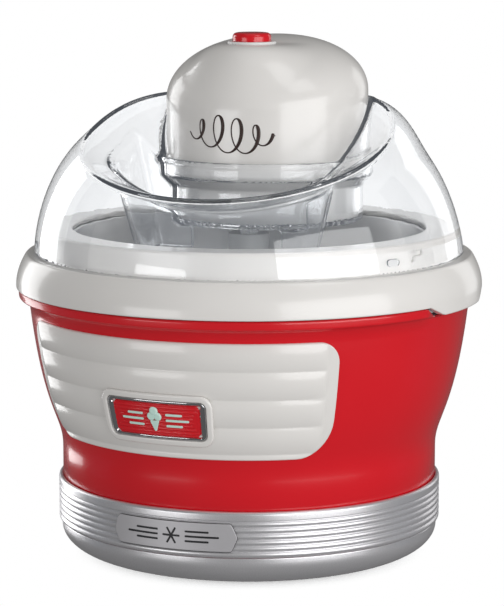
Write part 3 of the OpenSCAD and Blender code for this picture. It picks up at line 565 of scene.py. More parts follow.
def spun(name, outline, steps=192, other=None, share=None, centre_y=0.0):
    """Solid of revolution from a closed outline, blended round the axis into another one by share(angle)."""
    turns = np.arange(steps) * 2 * math.pi / steps
    base = np.array(outline, float)
    target = base if other is None else np.array(other, float)
    w = np.zeros(steps) if share is None else share(turns)
    section = base[None] * (1 - w)[:, None, None] + target[None] * w[:, None, None]
    verts = round_axis(section[..., 0], turns[:, None], section[..., 1], centre_y)
    return mesh_object(name, verts.reshape(-1, 3), grid_faces(steps, len(base)))


def pad(name, outline, place, base_h, top_h, rounding, relief=None, spacing=0.0012, loops=24, steps=4):
    """Raised patch on a curved surface.
    place(across, up, out) gives a point; relief(across, up) adds height."""
    edge = evenly(outline, spacing)
    rings = [(edge, base_h, 0.0), (edge, top_h - rounding, 0.0)]
    for k in range(1, steps + 1):
        t = math.pi / 2 * k / steps
        drop = rounding * (1 - math.sin(t))
        rings.append((inset(edge, rounding * (1 - math.cos(t))), top_h - drop, k / steps))
    inner = rings[-1][0]
    spine = spine_of(inner)
    for k in range(1, loops + 1):
        rings.append((inner + (spine - inner) * k / loops, top_h, 1.0))
    floor = [(edge + (spine_of(edge) - edge) * k / 4, base_h, 0.0) for k in (4, 3, 2, 1)]
    verts = []
    for points, out, full in floor + rings:
        extra = relief(points[:, 0], points[:, 1]) * full if relief and full else 0.0
        verts.append(place(points[:, 0], points[:, 1], out + extra))
    faces = grid_faces(len(floor) + len(rings), len(edge), close_rows=False)
    thing = mesh_object(name, np.concatenate(verts), faces, 2e-6)
    seal(thing)
    return thing


def spine_of(edge):
    """For each point of an outline, the nearest point of its middle line."""
    middle = (edge.max(0) + edge.min(0)) / 2
    half = (edge.max(0) - edge.min(0)) / 2
    long_way = int(half[1] > half[0])
    spine = edge.copy()
    reach = half[long_way] - half[1 - long_way] * 0.98
    spine[:, long_way] = np.clip(edge[:, long_way], middle[long_way] - reach, middle[long_way] + reach)
    spine[:, 1 - long_way] = middle[1 - long_way]
    return spine


def seal(thing):
    """Closes the narrow slots that are left along a patch's middle line."""
    made = bmesh.new()
    made.from_mesh(thing.data)
    open_edges = [e for e in made.edges if e.is_boundary]
    bmesh.ops.holes_fill(made, edges=open_edges, sides=0)
    bmesh.ops.recalc_face_normals(made, faces=made.faces)
    made.to_mesh(thing.data)
    made.free()
    smooth(thing.data)


def border(name, outline, section, place, spacing=0.001, wider=0.0):
    """Frame that follows an outline; its closed section is (inwards, out) pairs. Its sides get wider."""
    edge = evenly(outline, spacing)
    inwards_way = inset(edge, 1.0) - edge
    verts = []
    for inwards, out in section:
        points = edge + inwards_way * inwards * (1 + wider * inwards_way[:, :1] ** 2)
        verts.append(place(points[:, 0], points[:, 1], out))
    return mesh_object(name, np.concatenate(verts), grid_faces(len(section), len(edge)))


def join(name, things):
    """Joins several meshes into one piece."""
    made = bmesh.new()
    for thing in things:
        made.from_mesh(thing.data)
        bpy.data.objects.remove(thing)
    mesh = bpy.data.meshes.new(name)
    made.to_mesh(mesh)
    made.free()
    smooth(mesh)
    return linked(name, mesh)


def cut(thing, cutter):
    """Cuts one closed mesh out of another."""
    boolean = thing.modifiers.new("cut", "BOOLEAN")
    boolean.object = cutter
    boolean.operation = "DIFFERENCE"
    boolean.solver = "EXACT"
    bpy.context.view_layer.update()
    graph = bpy.context.evaluated_depsgraph_get()
    mesh = bpy.data.meshes.new_from_object(thing.evaluated_get(graph))
    thing.modifiers.clear()
    thing.data = mesh
    bpy.data.objects.remove(cutter)
    smooth(mesh)


# ---- The holder ----


def wall_curve(sizes, inwards=0.0, steps=28):
    """Outline of the holder's wall, moved inwards."""
    foot = sizes.foot_r - inwards
    mouth = LIP_R - sizes.lip_out - inwards
    start = BODY_Z + sizes.straight_h
    turn = start + sizes.cove_h
    end = (mouth, RIM_Z - sizes.lip_h)
    return bezier((foot, start), (foot, turn), (mouth - sizes.mouth_lean, turn), end, steps)


def on_wall(sizes):
    """Places a point on the holder's wall from its way across, its height and its way out."""
    curve = np.array(wall_curve(sizes, 0.0, 60))
    spread = LIP_R - sizes.lip_out

    def place(across, up, out):
        radius = np.interp(up, curve[:, 1], curve[:, 0]) + out
        return round_axis(radius, across / spread, up)

    return place


def tab_share(sizes, wider=0.0):
    """1 on the two grip tabs at the sides, 0 elsewhere, with a slope at their ends."""

    def share(turns):
        away = np.abs(np.abs((turns + math.pi) % (2 * math.pi) - math.pi) - math.pi / 2)
        return np.clip((sizes.tab_half + wider - away) / sizes.tab_slope, 0, 1)

    return share


def make_base():
    """Silver foot with an oval lower edge."""
    radius = high("base_shell").x
    top = high("base_shell").z
    inner = 0.060
    wall = 0.0026
    oval_w, oval_h = 0.020, 0.013

    def oval(inwards, turns):
        return [(radius - oval_w + (oval_w - inwards) * math.cos(t),
                 BASE_Z + oval_h + (oval_h - inwards) * math.sin(t)) for t in np.radians(turns)]

    upper = softened([(radius, top - 0.002), (radius, top, 0.0007), (inner, top), (inner, top - wall),
                      (radius - wall, top - wall)], closed=False)
    outline = oval(0.0, np.linspace(-90, 0, 20)) + upper + oval(wall, np.linspace(0, -90, 14))
    thing = spun("silver_base", outline)
    settle(thing, "holder", "silver_paint", ["base_shell"])


def make_band(sizes):
    """Silver band: even ribs under a smooth rim."""
    inner = sizes.foot_r + 0.0002
    groove = BAND_R - sizes.rib_depth
    ribs_top = BODY_Z - sizes.band_top
    pitch = (ribs_top - BAND_Z) / sizes.rib_count
    outline = [(inner, BAND_Z), (groove, BAND_Z)]
    for k in range(sizes.rib_count):
        start = BAND_Z + pitch * k
        for t in np.linspace(0, 1, 9)[1:-1]:
            outline.append((groove + sizes.rib_depth * math.sin(math.pi * t) ** 0.55, start + pitch * t))
        outline.append((groove, start + pitch))
    outline += softened([(groove, ribs_top), (BAND_R, ribs_top + 0.0004, 0.0004), (BAND_R, BODY_Z, 0.0016),
                         (inner, BODY_Z)], 6, closed=False)[1:]
    thing = spun("ribbed_band", outline, 256)
    settle(thing, "holder", "silver_paint", ["rib_band"])


def make_body(sizes):
    """Red wall with its lip, which gives way to the two grip tabs."""
    wall = sizes.wall
    mouth = LIP_R - sizes.lip_out
    lip_low = RIM_Z - sizes.lip_h
    floor = BAND_Z + wall
    floor_r = 0.040
    inner_foot = sizes.foot_r - wall
    tab_clearance, tab_margin = 0.0008, 0.005
    outside = [(floor_r, BAND_Z), (sizes.foot_r, BAND_Z)] + wall_curve(sizes)
    lip = softened([(mouth, lip_low), (LIP_R - 0.0004, lip_low + 0.0022, 0.0012), (LIP_R, RIM_Z, 0.0013),
                    (LIP_R - wall, RIM_Z, 0.0005), (LIP_R - wall, RIM_Z - 0.003),
                    (mouth - wall, RIM_Z - 0.003)], closed=False)
    drop = RIM_Z - sizes.tab_drop - tab_clearance
    bare = softened([(mouth, lip_low), (mouth + 0.0004, lip_low + 0.0006, 0.0012),
                     (mouth + 0.0006, drop, 0.0006), (mouth - wall + 0.0004, drop, 0.0005),
                     (mouth - wall + 0.0002, drop - 0.0012), (mouth - wall, drop - 0.002)], closed=False)
    inside = wall_curve(sizes, wall)[::-1] + [(inner_foot, floor), (floor_r, floor)]
    thing = spun("red_body", outside + lip[1:] + inside, 320, outside + bare[1:] + inside,
                 tab_share(sizes, tab_margin))
    settle(thing, "holder", "red_plastic", ["body_shell"])


def make_panel(sizes, panel):
    """White panel: broad ridges that fade before its border, and a raised frame for the badge."""
    place = on_wall(sizes)
    half = panel.half * (LIP_R - sizes.lip_out)
    half_h = panel.height / 2
    middle = BODY_Z + panel.rise + half_h
    top = middle + half_h
    lower_r, upper_r = 0.019, 0.011
    margin, fade = 0.006, 0.008

    def ridges(across, up):
        wave = np.abs(np.sin(math.pi * (top - up) / panel.ridge_pitch)) ** 0.7
        into = np.clip((half - np.abs(across) - margin) / fade, 0, 1)
        return panel.ridge_out * wave * np.sqrt(1 - (1 - into) ** 2)

    outline = rounded_box(half, half_h, lower_r, middle, 10, upper_r)
    sheet = pad("sheet", outline, place, 0.00005, panel.thickness, 0.0007, ridges, spacing=0.0014, loops=64)
    wide = panel.border
    badge = rounded_box(panel.badge_w / 2 + wide, panel.badge_h / 2 + wide, 0.0068,
                        BODY_Z + panel.badge_rise)
    root = panel.thickness * 0.5
    crest = panel.thickness + panel.ridge_out + 0.0016
    section = softened([(0.0, root), (0.0004, crest, 0.0011), (wide, crest, 0.0008),
                        (wide + 0.0002, root)], 6)
    ring = border("ring", badge, section, place)
    settle(join("white_panel", [sheet, ring]), "holder", "ivory_plastic", ["front_panel"])


def bar(start, end, side, up, half_h, steps):
    """Outline of a lying bar on one side of the middle."""
    outline = rounded_box((end - start) / 2, half_h, half_h - 0.00005, up, steps)
    return [(x + side * (start + end) / 2, y) for x, y in outline]


def make_badge(sizes, panel):
    """Chromed bezel, ribbed red plate and a cone with three scoops as its emblem."""
    place = on_wall(sizes)
    middle = BODY_Z + panel.badge_rise
    seat = panel.thickness + panel.ridge_out
    outline = rounded_box(panel.badge_w / 2 - 0.0001, panel.badge_h / 2 - 0.0001, 0.0036, middle)
    section = softened([(0.0, seat - 0.0006), (0.0002, seat + 0.0009, 0.0005),
                        (0.0013, seat + 0.0010, 0.0006), (0.0021, seat - 0.0001, 0.0004),
                        (0.0021, seat - 0.0006)])
    bezel = border("badge_bezel_ring", outline, section, place, wider=0.9)
    settle(bezel, "holder", "bright_metal", ["badge_bezel"])

    rib_out, rib_pitch = 0.00055, 0.0018

    def ribs(across, up):
        return rib_out * np.abs(np.sin(math.pi * (up - middle) / rib_pitch))

    outline = rounded_box(panel.badge_w / 2 - 0.0036, panel.badge_h / 2 - 0.0019, 0.0026, middle)
    plate = pad("ribbed_plate", outline, place, seat - 0.0008, seat + 0.0003, 0.0003, ribs, 0.0012, 52, 3)
    settle(plate, "holder", "red_plastic", ["badge_plate"])

    lift = seat + 0.0008

    def raised(outline, height, rounding, loops):
        return pad("raised", outline, place, lift - 0.0004, lift + height, rounding, None, 0.0006, loops)

    cone = softened([(-0.0026, middle - 0.0004, 0.0005), (0.0, middle - 0.0068, 0.0006),
                     (0.0026, middle - 0.0004, 0.0005)])
    parts = [raised(cone, 0.0006, 0.0002, 5)]
    low_ball, high_ball = (0.0016, 0.0021, 0.0008), (0.0044, 0.0022, 0.0010)
    for across, (up, radius, height) in ((-0.0018, low_ball), (0.0018, low_ball), (0.0, high_ball)):
        ball = [(across + radius * math.cos(t), middle + up + radius * math.sin(t))
                for t in np.linspace(0, 2 * math.pi, 28, endpoint=False)]
        parts.append(raised(ball, height, 0.0007, 4))
    for side in (-1, 1):
        for offset, reach in ((-0.0028, 0.0150), (0.0, 0.0185), (0.0028, 0.0150)):
            parts.append(raised(bar(0.0062, reach, side, middle + offset, 0.0006, 4), 0.0005, 0.0002, 3))
    settle(join("cone_emblem", parts), "holder", "mint_enamel", ["badge_emblem"])


def make_name_plate(panel):
    """Brushed plate with pointed ends, a dark line round its edge that is painted shadow, and a printed frost
    star between lines.
    """
    radius = BAND_R + 0.00005
    middle = (BAND_Z + BODY_Z) / 2 - 0.0012
    half = panel.plate_w / 2
    straight = half - 0.0032
    tall = panel.plate_h / 2

    def place(across, up, out):
        return round_axis(radius + out, across / BAND_R + panel.plate_turn, up)

    def printed(outline, spacing):
        return pad("printed", outline, place, 0.0005, 0.00085, 0.0001, None, spacing, 3, 2)

    outline = softened([(-straight, middle - tall, 0.0016), (straight, middle - tall, 0.0016),
                        (half, middle, 0.004), (straight, middle + tall, 0.0016),
                        (-straight, middle + tall, 0.0016), (-half, middle, 0.004)], 8)
    plate = pad("plate_on_band", outline, place, 0.0, 0.00075, 0.0003, None, 0.0012, 12)
    settle(plate, "holder", "brushed_plate", ["name_plate"])
    # A thin dark line round the plate's edge: painted shadow where the plate meets the band.
    section = [(-0.0002, 0.0), (-0.0002, 0.0004), (0.0001, 0.0006), (0.0002, 0.0004), (0.0002, 0.0)]
    settle(border("plate_painted_shadow_line", outline, section, place), "holder", "dark_plastic", finish="ink_and_painted_shade")
    parts = []
    for k in range(6):
        turn = math.pi * k / 3
        arm = rounded_box(0.0023, 0.0005, 0.00045, 0.0, 3)
        arm = [(x + 0.0022, y) for x, y in arm]
        arm = [(x * math.cos(turn) - y * math.sin(turn), middle + x * math.sin(turn) + y * math.cos(turn))
               for x, y in arm]
        parts.append(printed(arm, 0.0006))
    for side in (-1, 1):
        for offset, reach in ((-0.0024, 0.019), (0.0, 0.024), (0.0024, 0.019)):
            parts.append(printed(bar(0.007, reach, side, middle + offset, 0.0005, 3), 0.0008))
    settle(join("frost_motif", parts), "holder", "dark_plastic", finish="ink_and_painted_shade")


# ---- The freezer bowl ----


def make_rim(sizes):
    """White collar, deck and ring, with two grip tabs and the slot that the lid locks in."""
    deck = DECK_Z
    wall = 0.0025
    mouth = 0.0892
    foot = RIM_Z + 0.0003
    tab_inner = LIP_R - sizes.lip_out + 0.0012
    curve = bezier((COLLAR_R, RIM_Z + 0.002), (COLLAR_R, RIM_Z + 0.008),
                   (COLLAR_R - 0.0028, deck - 0.004), (COLLAR_R - 0.0047, deck - 0.0009), 16)
    top = softened([curve[-1], (COLLAR_R - 0.0056, deck, 0.0012), (LOCK_R, deck, 0.0008),
                    (LOCK_R, RING_Z, 0.0014), (mouth, RING_Z, 0.0012), (mouth, RING_Z - wall, 0.0003),
                    (LOCK_R - wall, RING_Z - wall, 0.0008), (LOCK_R - wall, deck - wall, 0.0008),
                    (COLLAR_R - 0.0082, deck - wall, 0.001), (COLLAR_R - 0.0031, RIM_Z + 0.006)],
                   closed=False)[1:]

    def skirt(bottom, inner, rounding):
        return softened([(inner, bottom + 0.002), (inner, bottom, rounding), (COLLAR_R, bottom, rounding),
                         (COLLAR_R, bottom + 0.0012)], 4, closed=False)

    plain = skirt(foot, COLLAR_R - wall, 0.0006) + curve + top
    tab = skirt(RIM_Z - sizes.tab_drop, tab_inner, 0.0007) + curve + top
    thing = spun("white_rim", plain, 360, tab, tab_share(sizes))
    slot_turn = math.radians(75)
    for across, up, half_w, half_h in ((0.0, 0.0076, 0.0052, 0.0013), (-0.0032, 0.0064, 0.0020, 0.0028)):
        cut(thing, notch_block(slot_turn + across / LOCK_R, deck + up, half_w, half_h))
    settle(thing, "freezer_bowl", "ivory_plastic", ["bowl_rim"])


def notch_block(turn, up, half_w, half_h):
    """Rounded block that cuts a shallow slot into the ring."""
    outline = rounded_box(half_w, half_h, min(half_w, half_h) * 0.8, up, 5)
    depth = 0.0019

    def place(across, height, out):
        return round_axis(LOCK_R + out, turn + across / LOCK_R, height)

    return pad("notch", outline, place, -depth, 0.002, 0.0002, None, 0.001, 4, 2)


def make_bowl():
    """Aluminium bowl with a soft corner and the pin that the paddle turns on."""
    top = high("bowl_inner").z
    floor = DECK_Z - 0.102
    wall = 0.0012
    radius, foot, corner = 0.088, 0.070, 0.015
    flange = high("bowl_inner").x
    bend = (foot - corner, floor + corner)
    inside = [(0.004, floor)] + arc(bend, corner, -90, -8, 14)
    outside = arc(bend, corner + wall, -8, -90, 14) + [(0.0, floor - wall)]
    pin = [(0.0, floor + 0.0094), (0.0034, floor + 0.0094), (0.004, floor + 0.0088)]
    rim = softened([(radius - 0.001, top - 0.006), (radius, top, 0.0008), (flange, top),
                    (flange, top - wall), (radius + wall, top - wall, 0.0006),
                    (radius + wall - 0.001, top - 0.006)], 4, closed=False)
    thing = spun("metal_bowl", pin + inside + rim + outside)
    settle(thing, "freezer_bowl", "bowl_aluminium", ["bowl_inner"])


# ---- The clear lid, from distances to its surfaces ----


def distance_table(outline, grid_r, grid_z):
    """Signed distance to a closed outline in the radius and height plane, negative inside."""
    p = np.array(outline, float)
    q = np.roll(p, -1, 0)
    best = np.full((len(grid_r), len(grid_z)), 1e9)
    inside = np.zeros_like(best, bool)
    rr, zz = np.meshgrid(grid_r, grid_z, indexing="ij")
    for (x0, z0), (x1, z1) in zip(p, q):
        dx, dz = x1 - x0, z1 - z0
        size = max(dx * dx + dz * dz, 1e-18)
        t = np.clip(((rr - x0) * dx + (zz - z0) * dz) / size, 0, 1)
        best = np.minimum(best, (rr - x0 - t * dx) ** 2 + (zz - z0 - t * dz) ** 2)
        if abs(dz) > 1e-12:
            crosses = ((z0 > zz) != (z1 > zz)) & (rr < x0 + dx * (zz - z0) / dz)
            inside ^= crosses
    return np.where(inside, -np.sqrt(best), np.sqrt(best))


class Turned:
    """Distance field of a solid of revolution about an upright axis."""

    def __init__(self, outline, centre_y=0.0, reach=0.13, span=(0.13, 0.27), step=0.0005):
        self.centre_y = centre_y
        self.step = step
        self.start = (-0.002, span[0])
        radii = np.arange(self.start[0], reach, step)
        heights = np.arange(span[0], span[1], step)
        mirrored = [(-r, z) for r, z in outline[::-1]]
        self.table = distance_table(list(outline) + mirrored, radii, heights)

    def __call__(self, x, y, z):
        radius = np.sqrt(x * x + (y - self.centre_y) ** 2)
        u = np.clip((radius - self.start[0]) / self.step, 0, self.table.shape[0] - 1.001)
        v = np.clip((z - self.start[1]) / self.step, 0, self.table.shape[1] - 1.001)
        i, j = u.astype(int), v.astype(int)
        a, b = u - i, v - j
        t = self.table
        return ((t[i, j] * (1 - a) + t[i + 1, j] * a) * (1 - b)
                + (t[i, j + 1] * (1 - a) + t[i + 1, j + 1] * a) * b)


def either(a, b, rounding):
    """Union of two distance fields with a rounded inner corner."""
    h = np.clip(rounding - np.abs(a - b), 0, None) / rounding
    return np.minimum(a, b) - h * h * rounding / 4


def both(a, b, rounding):
    """Intersection of two distance fields with a rounded edge."""
    return -either(-a, -b, rounding)


def surface_mesh(name, field, lowest, highest, step):
    """Mesh of the surface where a field is zero, with one point in each cell that it crosses."""
    axes = [np.arange(lo - 2 * step, hi + 3 * step, step) for lo, hi in zip(lowest, highest)]
    shape = tuple(len(a) for a in axes)
    values = np.empty(shape, np.float32)
    yy, zz = np.meshgrid(axes[1], axes[2], indexing="ij")
    for i, x in enumerate(axes[0]):
        values[i] = field(np.full_like(yy, x), yy, zz)
    solid = values < 0
    cells = tuple(n - 1 for n in shape)
    total = np.zeros((*cells, 3), np.float32)
    hits = np.zeros(cells, np.uint8)
    corners = [(a, b, c) for a in (0, 1) for b in (0, 1) for c in (0, 1)]

    def corner(grid, offset):
        return grid[tuple(slice(o, o + n) for o, n in zip(offset, cells))]

    for start in corners:
        for axis in range(3):
            if start[axis]:
                continue
            end = tuple(v + (k == axis) for k, v in enumerate(start))
            va, vb = corner(values, start), corner(values, end)
            crossed = corner(solid, start) != corner(solid, end)
            t = np.where(crossed, va / np.where(crossed, va - vb, 1), 0)
            for k in range(3):
                total[..., k] += np.where(crossed, start[k] + (t if k == axis else 0), 0)
            hits += crossed
    used = np.argwhere(hits > 0)
    number = np.full(cells, -1, np.int64)
    number[tuple(used.T)] = np.arange(len(used))
    local = total[tuple(used.T)] / hits[tuple(used.T)][:, None]
    origin = np.array([a[0] for a in axes])
    verts = origin + (used + local) * step
    faces = []
    for axis in range(3):
        b, c = (axis + 1) % 3, (axis + 2) % 3
        lo = [slice(1, n - 1) for n in shape]
        lo[axis] = slice(0, shape[axis] - 1)
        up = list(lo)
        up[axis] = slice(1, shape[axis])
        change = solid[tuple(lo)] != solid[tuple(up)]
        places = np.argwhere(change) + np.array([s.start for s in lo])
        flip = solid[tuple(places.T)]
        quad = []
        for db, dc in ((0, 0), (-1, 0), (-1, -1), (0, -1)):
            p = places.copy()
            p[:, b] += db
            p[:, c] += dc
            quad.append(number[tuple(p.T)])
        quad = np.stack(quad, 1)
        faces.append(np.where(flip[:, None], quad, quad[:, ::-1]))
    faces = np.concatenate(faces)
    small = step * 0.25

    def slope(p):
        parts = []
        for k in range(3):
            shift = np.zeros(3)
            shift[k] = small
            ahead, behind = p + shift, p - shift
            parts.append((field(*ahead.T) - field(*behind.T)) / (2 * small))
        return np.stack(parts, 1)

    for _ in range(3):
        g = slope(verts)
        size = np.sum(g * g, 1)
        move = -(field(*verts.T) / np.maximum(size, 0.25))[:, None] * g
        verts = verts + np.clip(move, -0.4 * step, 0.4 * step)
    mesh = bpy.data.meshes.new(name)
    mesh.from_pydata(verts.tolist(), [], faces.tolist())
    smooth(mesh)
    g = slope(verts)
    normals = g / np.maximum(np.linalg.norm(g, axis=1), 1e-9)[:, None]
    mesh.normals_split_custom_set_from_vertices(normals.tolist())
    mesh.update()
    return linked(name, mesh)


def lean_at(lid, height):
    """How far the dome's middle has moved at a height above the lid's foot."""
    return lid.lean * (1 - np.exp(-np.maximum(height, 0) / lid.lean_h))


def dome_outline(lid):
    """Outline of the lid's dome about its leaning middle, from a little below its foot."""
    rise = lid.dome_h
    points = [(0.0, LID_Z - 0.02), (LID_R, LID_Z - 0.02)]
    for a in np.radians(np.linspace(0, 90, 60)):
        across = LID_R * math.cos(a) ** (2 / 3.9) if a < math.pi / 2 - 1e-6 else 0.0
        height = rise * math.sin(a) ** (2 / 1.706)
        points.append((max(across - float(lean_at(lid, height)), 0.0), LID_Z + height))
    return points


def hood_outline(lid):
    """Outline of the shoulder that stands round the motor unit."""
    centre = (UNIT_R + 0.0025, LID_Z + lid.hood_h - lid.hood_round)
    side = (centre[0] + lid.hood_round, centre[1] - 0.02)
    crown = (0.0, centre[1] + lid.hood_round)
    return [(0.0, side[1]), side] + arc(centre, lid.hood_round, 0, 90, 16) + [crown]


def cup_outline(unit):
    """Outline of the room that the motor unit hangs in."""
    gap = 0.0006
    seat, top = UNIT_Z - 0.0003, UNIT_Z + 0.09
    plug, side = unit.plug_r + gap, UNIT_R + gap
    shoulder = UNIT_Z + unit.plug_h
    return [(0.0, seat), (plug, seat), (plug, shoulder - 0.0004),
            (side, shoulder + unit.shoulder_h - 0.001), (side, top), (0.0, top)]


def hollow_field(lid):
    """Distance to the tilted cone of the pouring hollow, negative inside it."""
    side = np.array([math.cos(lid.turn), math.sin(lid.turn), 0.0])
    back = np.array([-math.sin(lid.turn) * math.cos(lid.tilt), math.cos(lid.turn) * math.cos(lid.tilt),
                     math.sin(lid.tilt)])
    up = np.cross(side, back)
    slope_s, slope_c = math.sin(lid.slope), math.cos(lid.slope)
    depth, rounding, overlap = 0.030, 0.004, 0.005

    def field(x, y, z):
        dz = z - lid.fold_z
        u = x * side[0] + y * side[1] + dz * side[2]
        v = x * back[0] + y * back[1] + dz * back[2] + lid.shift
        w = x * up[0] + y * up[1] + dz * up[2]
        radius = np.sqrt(u * u + v * v)
        cone = (radius - lid.hollow_r) * slope_s - w * slope_c
        floor = -depth - w
        behind = np.maximum(v - lid.shift - overlap, -w)
        return either(both(cone, floor, rounding), behind, rounding)

    return field


def chute_field(lid):
    """Distance to the tapered chute, negative inside it."""
    foot = DECK_Z + 0.001
    flare = 0.25
    back_y = -0.014
    size = math.sqrt(1 + flare * flare)

    def field(x, y, z):
        rise = (z - foot) * flare
        front = (np.sqrt(x * x + y * y) - lid.chute_r - rise) / size
        sides = (np.abs(x) - lid.chute_half - rise) / size
        return both(both(front, sides, 0.010), y - back_y, 0.004)

    return field


def lug(degrees):
    """Small lug inside the lid's foot, which runs in the ring's slot."""
    outline = rounded_box(0.0038, 0.0017, 0.00165, LID_Z + 0.005, 6)
    tip_r = LOCK_R + 0.0005
    root_r = tip_r + 0.0016

    def place(across, up, out):
        return round_axis(root_r - out, math.radians(degrees) + across / tip_r, up)

    return pad("lug", outline, place, 0.0, 0.0014, 0.0003, None, 0.0006, 4, 3)


def make_lid(lid, unit):
    """The lid and its cup as one smooth clear shell of even wall."""
    dome = Turned(dome_outline(lid))
    hood = Turned(hood_outline(lid), lid.hood_back)
    cup = Turned(cup_outline(unit), UNIT_Y)
    hollow = hollow_field(lid)
    chute = chute_field(lid)
    wall = lid.wall
    lip_r = UNIT_R + 0.0040
    lip_half = 0.001
    seat_hole = unit.plug_r - unit.wall - 0.001
    foot = DECK_Z + 0.002
    lean_turn = math.radians(-65)
    into_hood, into_chute, into_cup = 0.012, 0.003, 0.0020

    def shell(x, y, z):
        lean = lean_at(lid, z - LID_Z)
        leaning = dome(x - lean * math.sin(lean_turn), y + lean * math.cos(lean_turn), z)
        outer = either(leaning, hood(x, y, z), into_hood)
        above = -hollow(x, y, z)
        solid = both(outer, above, lid.fillet * 2)
        skin = both(solid, -(solid + wall), 0.0005)
        channel = chute(x, y, z)
        around = np.maximum(np.maximum(channel - wall, above), foot - z)
        around = np.maximum(around, outer + wall * 0.5)
        skin = either(skin, around, into_chute)
        skin = both(skin, -channel, 0.0010)
        seat = cup(x, y, z)
        from_axis = np.sqrt(x * x + (y - UNIT_Y) ** 2)
        thick = seat - wall
        sleeve = np.maximum(thick, np.maximum(z - CUP_TOP, UNIT_Z - 0.002 - z))
        flange = np.maximum(from_axis - lip_r, np.abs(z - CUP_TOP + lip_half) - lip_half)
        sleeve = either(sleeve, flange, 0.0015)
        inside_lid = both(thick, both(outer, above, 0.002), 0.0006)
        skin = either(skin, np.minimum(sleeve, inside_lid), into_cup)
        skin = both(skin, -seat, 0.0008)
        hole = np.maximum(from_axis - seat_hole, z - UNIT_Z - 0.001)
        skin = both(skin, -hole, 0.0006)
        return both(skin, LID_Z - z, 0.0007)

    lowest = (-LID_R, -LID_R, LID_Z)
    highest = (LID_R, LID_R, LID_Z + lid.hood_h)
    thing = surface_mesh("clear_lid", shell, lowest, highest, lid.grid)
    settle(thing, "lid", "clear_plastic", ["lid_shell", "lid_chute", "motor_cup"], weighted=False)
    settle(join("lid_lugs", [lug(degrees) for degrees in (65, 185, 305)]), "lid", "clear_plastic")


# ---- The motor unit ----


def crown_z(unit, radius, turns):
    """Height of the domed top at a distance from the unit's axis; it swells up to the button's ring."""
    x = radius * np.sin(turns)
    y = UNIT_Y - radius * np.cos(turns)
    share = np.clip(radius / UNIT_R, 0, 1)
    edge = UNIT_Z + unit.side_h + unit.crown_tilt * (y - UNIT_Y)
    crown = edge + unit.crown_h * np.sqrt(np.clip(1 - share**unit.crown_power, 0, 1))
    gap = np.clip(RING_TOP - unit.ring_proud - crown, 0, None)
    away = np.hypot(x, y - BUTTON_Y)
    near = smooth_step((unit.swell_r - away) / (unit.swell_r - BUTTON_WELL_R))
    return crown + gap * near


def make_housing(unit):
    """White housing: plug, sloping shoulder, straight side and a full, tilted top."""
    steps = 240
    turns = np.arange(steps) * 2 * math.pi / steps
    shoulder = UNIT_Z + unit.plug_h
    side_z = UNIT_Z + 0.040
    crown_rings = 34

    def skin(inwards):
        plug, side = unit.plug_r - inwards, UNIT_R - inwards
        foot = softened([(plug, UNIT_Z), (plug, shoulder, 0.002), (side, shoulder + unit.shoulder_h, 0.003),
                         (side, side_z)], 6, closed=False)
        rows = [round_axis(r, turns, z, UNIT_Y) for r, z in foot]
        for a in np.linspace(1, 0, crown_rings):
            radius = UNIT_R * math.sin(math.pi / 2 * a)
            height = crown_z(unit, radius, turns) - inwards * 0.9
            rows.append(round_axis(radius - inwards * radius / UNIT_R, turns, height, UNIT_Y))
        return rows

    rows = skin(0.0) + skin(unit.wall)[::-1]
    thing = mesh_object("white_housing", np.concatenate(rows), grid_faces(len(rows), steps))
    low_z, high_z = BUTTON_TOP - 0.03, BUTTON_TOP + 0.02
    well = [(0.0, low_z), (BUTTON_WELL_R, low_z), (BUTTON_WELL_R, high_z), (0.0, high_z)]
    cut(thing, spun("well", well, 96, centre_y=BUTTON_Y))
    settle(thing, "motor_unit", "ivory_plastic", ["motor_housing"])


def make_button():
    """Red button with a flange under it, and the white ring that it slides in."""
    ring_foot = low("button_ring").z
    bore, outside = 0.0099, 0.0123
    outline = softened([(bore, ring_foot), (bore, RING_TOP, 0.0005), (outside, RING_TOP, 0.0009),
                        (outside, ring_foot)])
    ring = spun("white_button_ring", outline, 96, centre_y=BUTTON_Y)
    settle(ring, "motor_unit", "white_plastic", ["button_ring"])
    foot = low("push_button").z
    flange = foot + 0.002
    radius, flange_r = 0.0097, 0.0110
    outline = softened([(0.0, foot), (flange_r, foot), (flange_r, flange, 0.0004), (radius, flange),
                        (radius, BUTTON_TOP - 0.0004, 0.0022), (0.0, BUTTON_TOP)], 8, closed=False)
    cap = spun("red_button", outline, 96, centre_y=BUTTON_Y)
    settle(cap, "button", "red_plastic", ["push_button"])


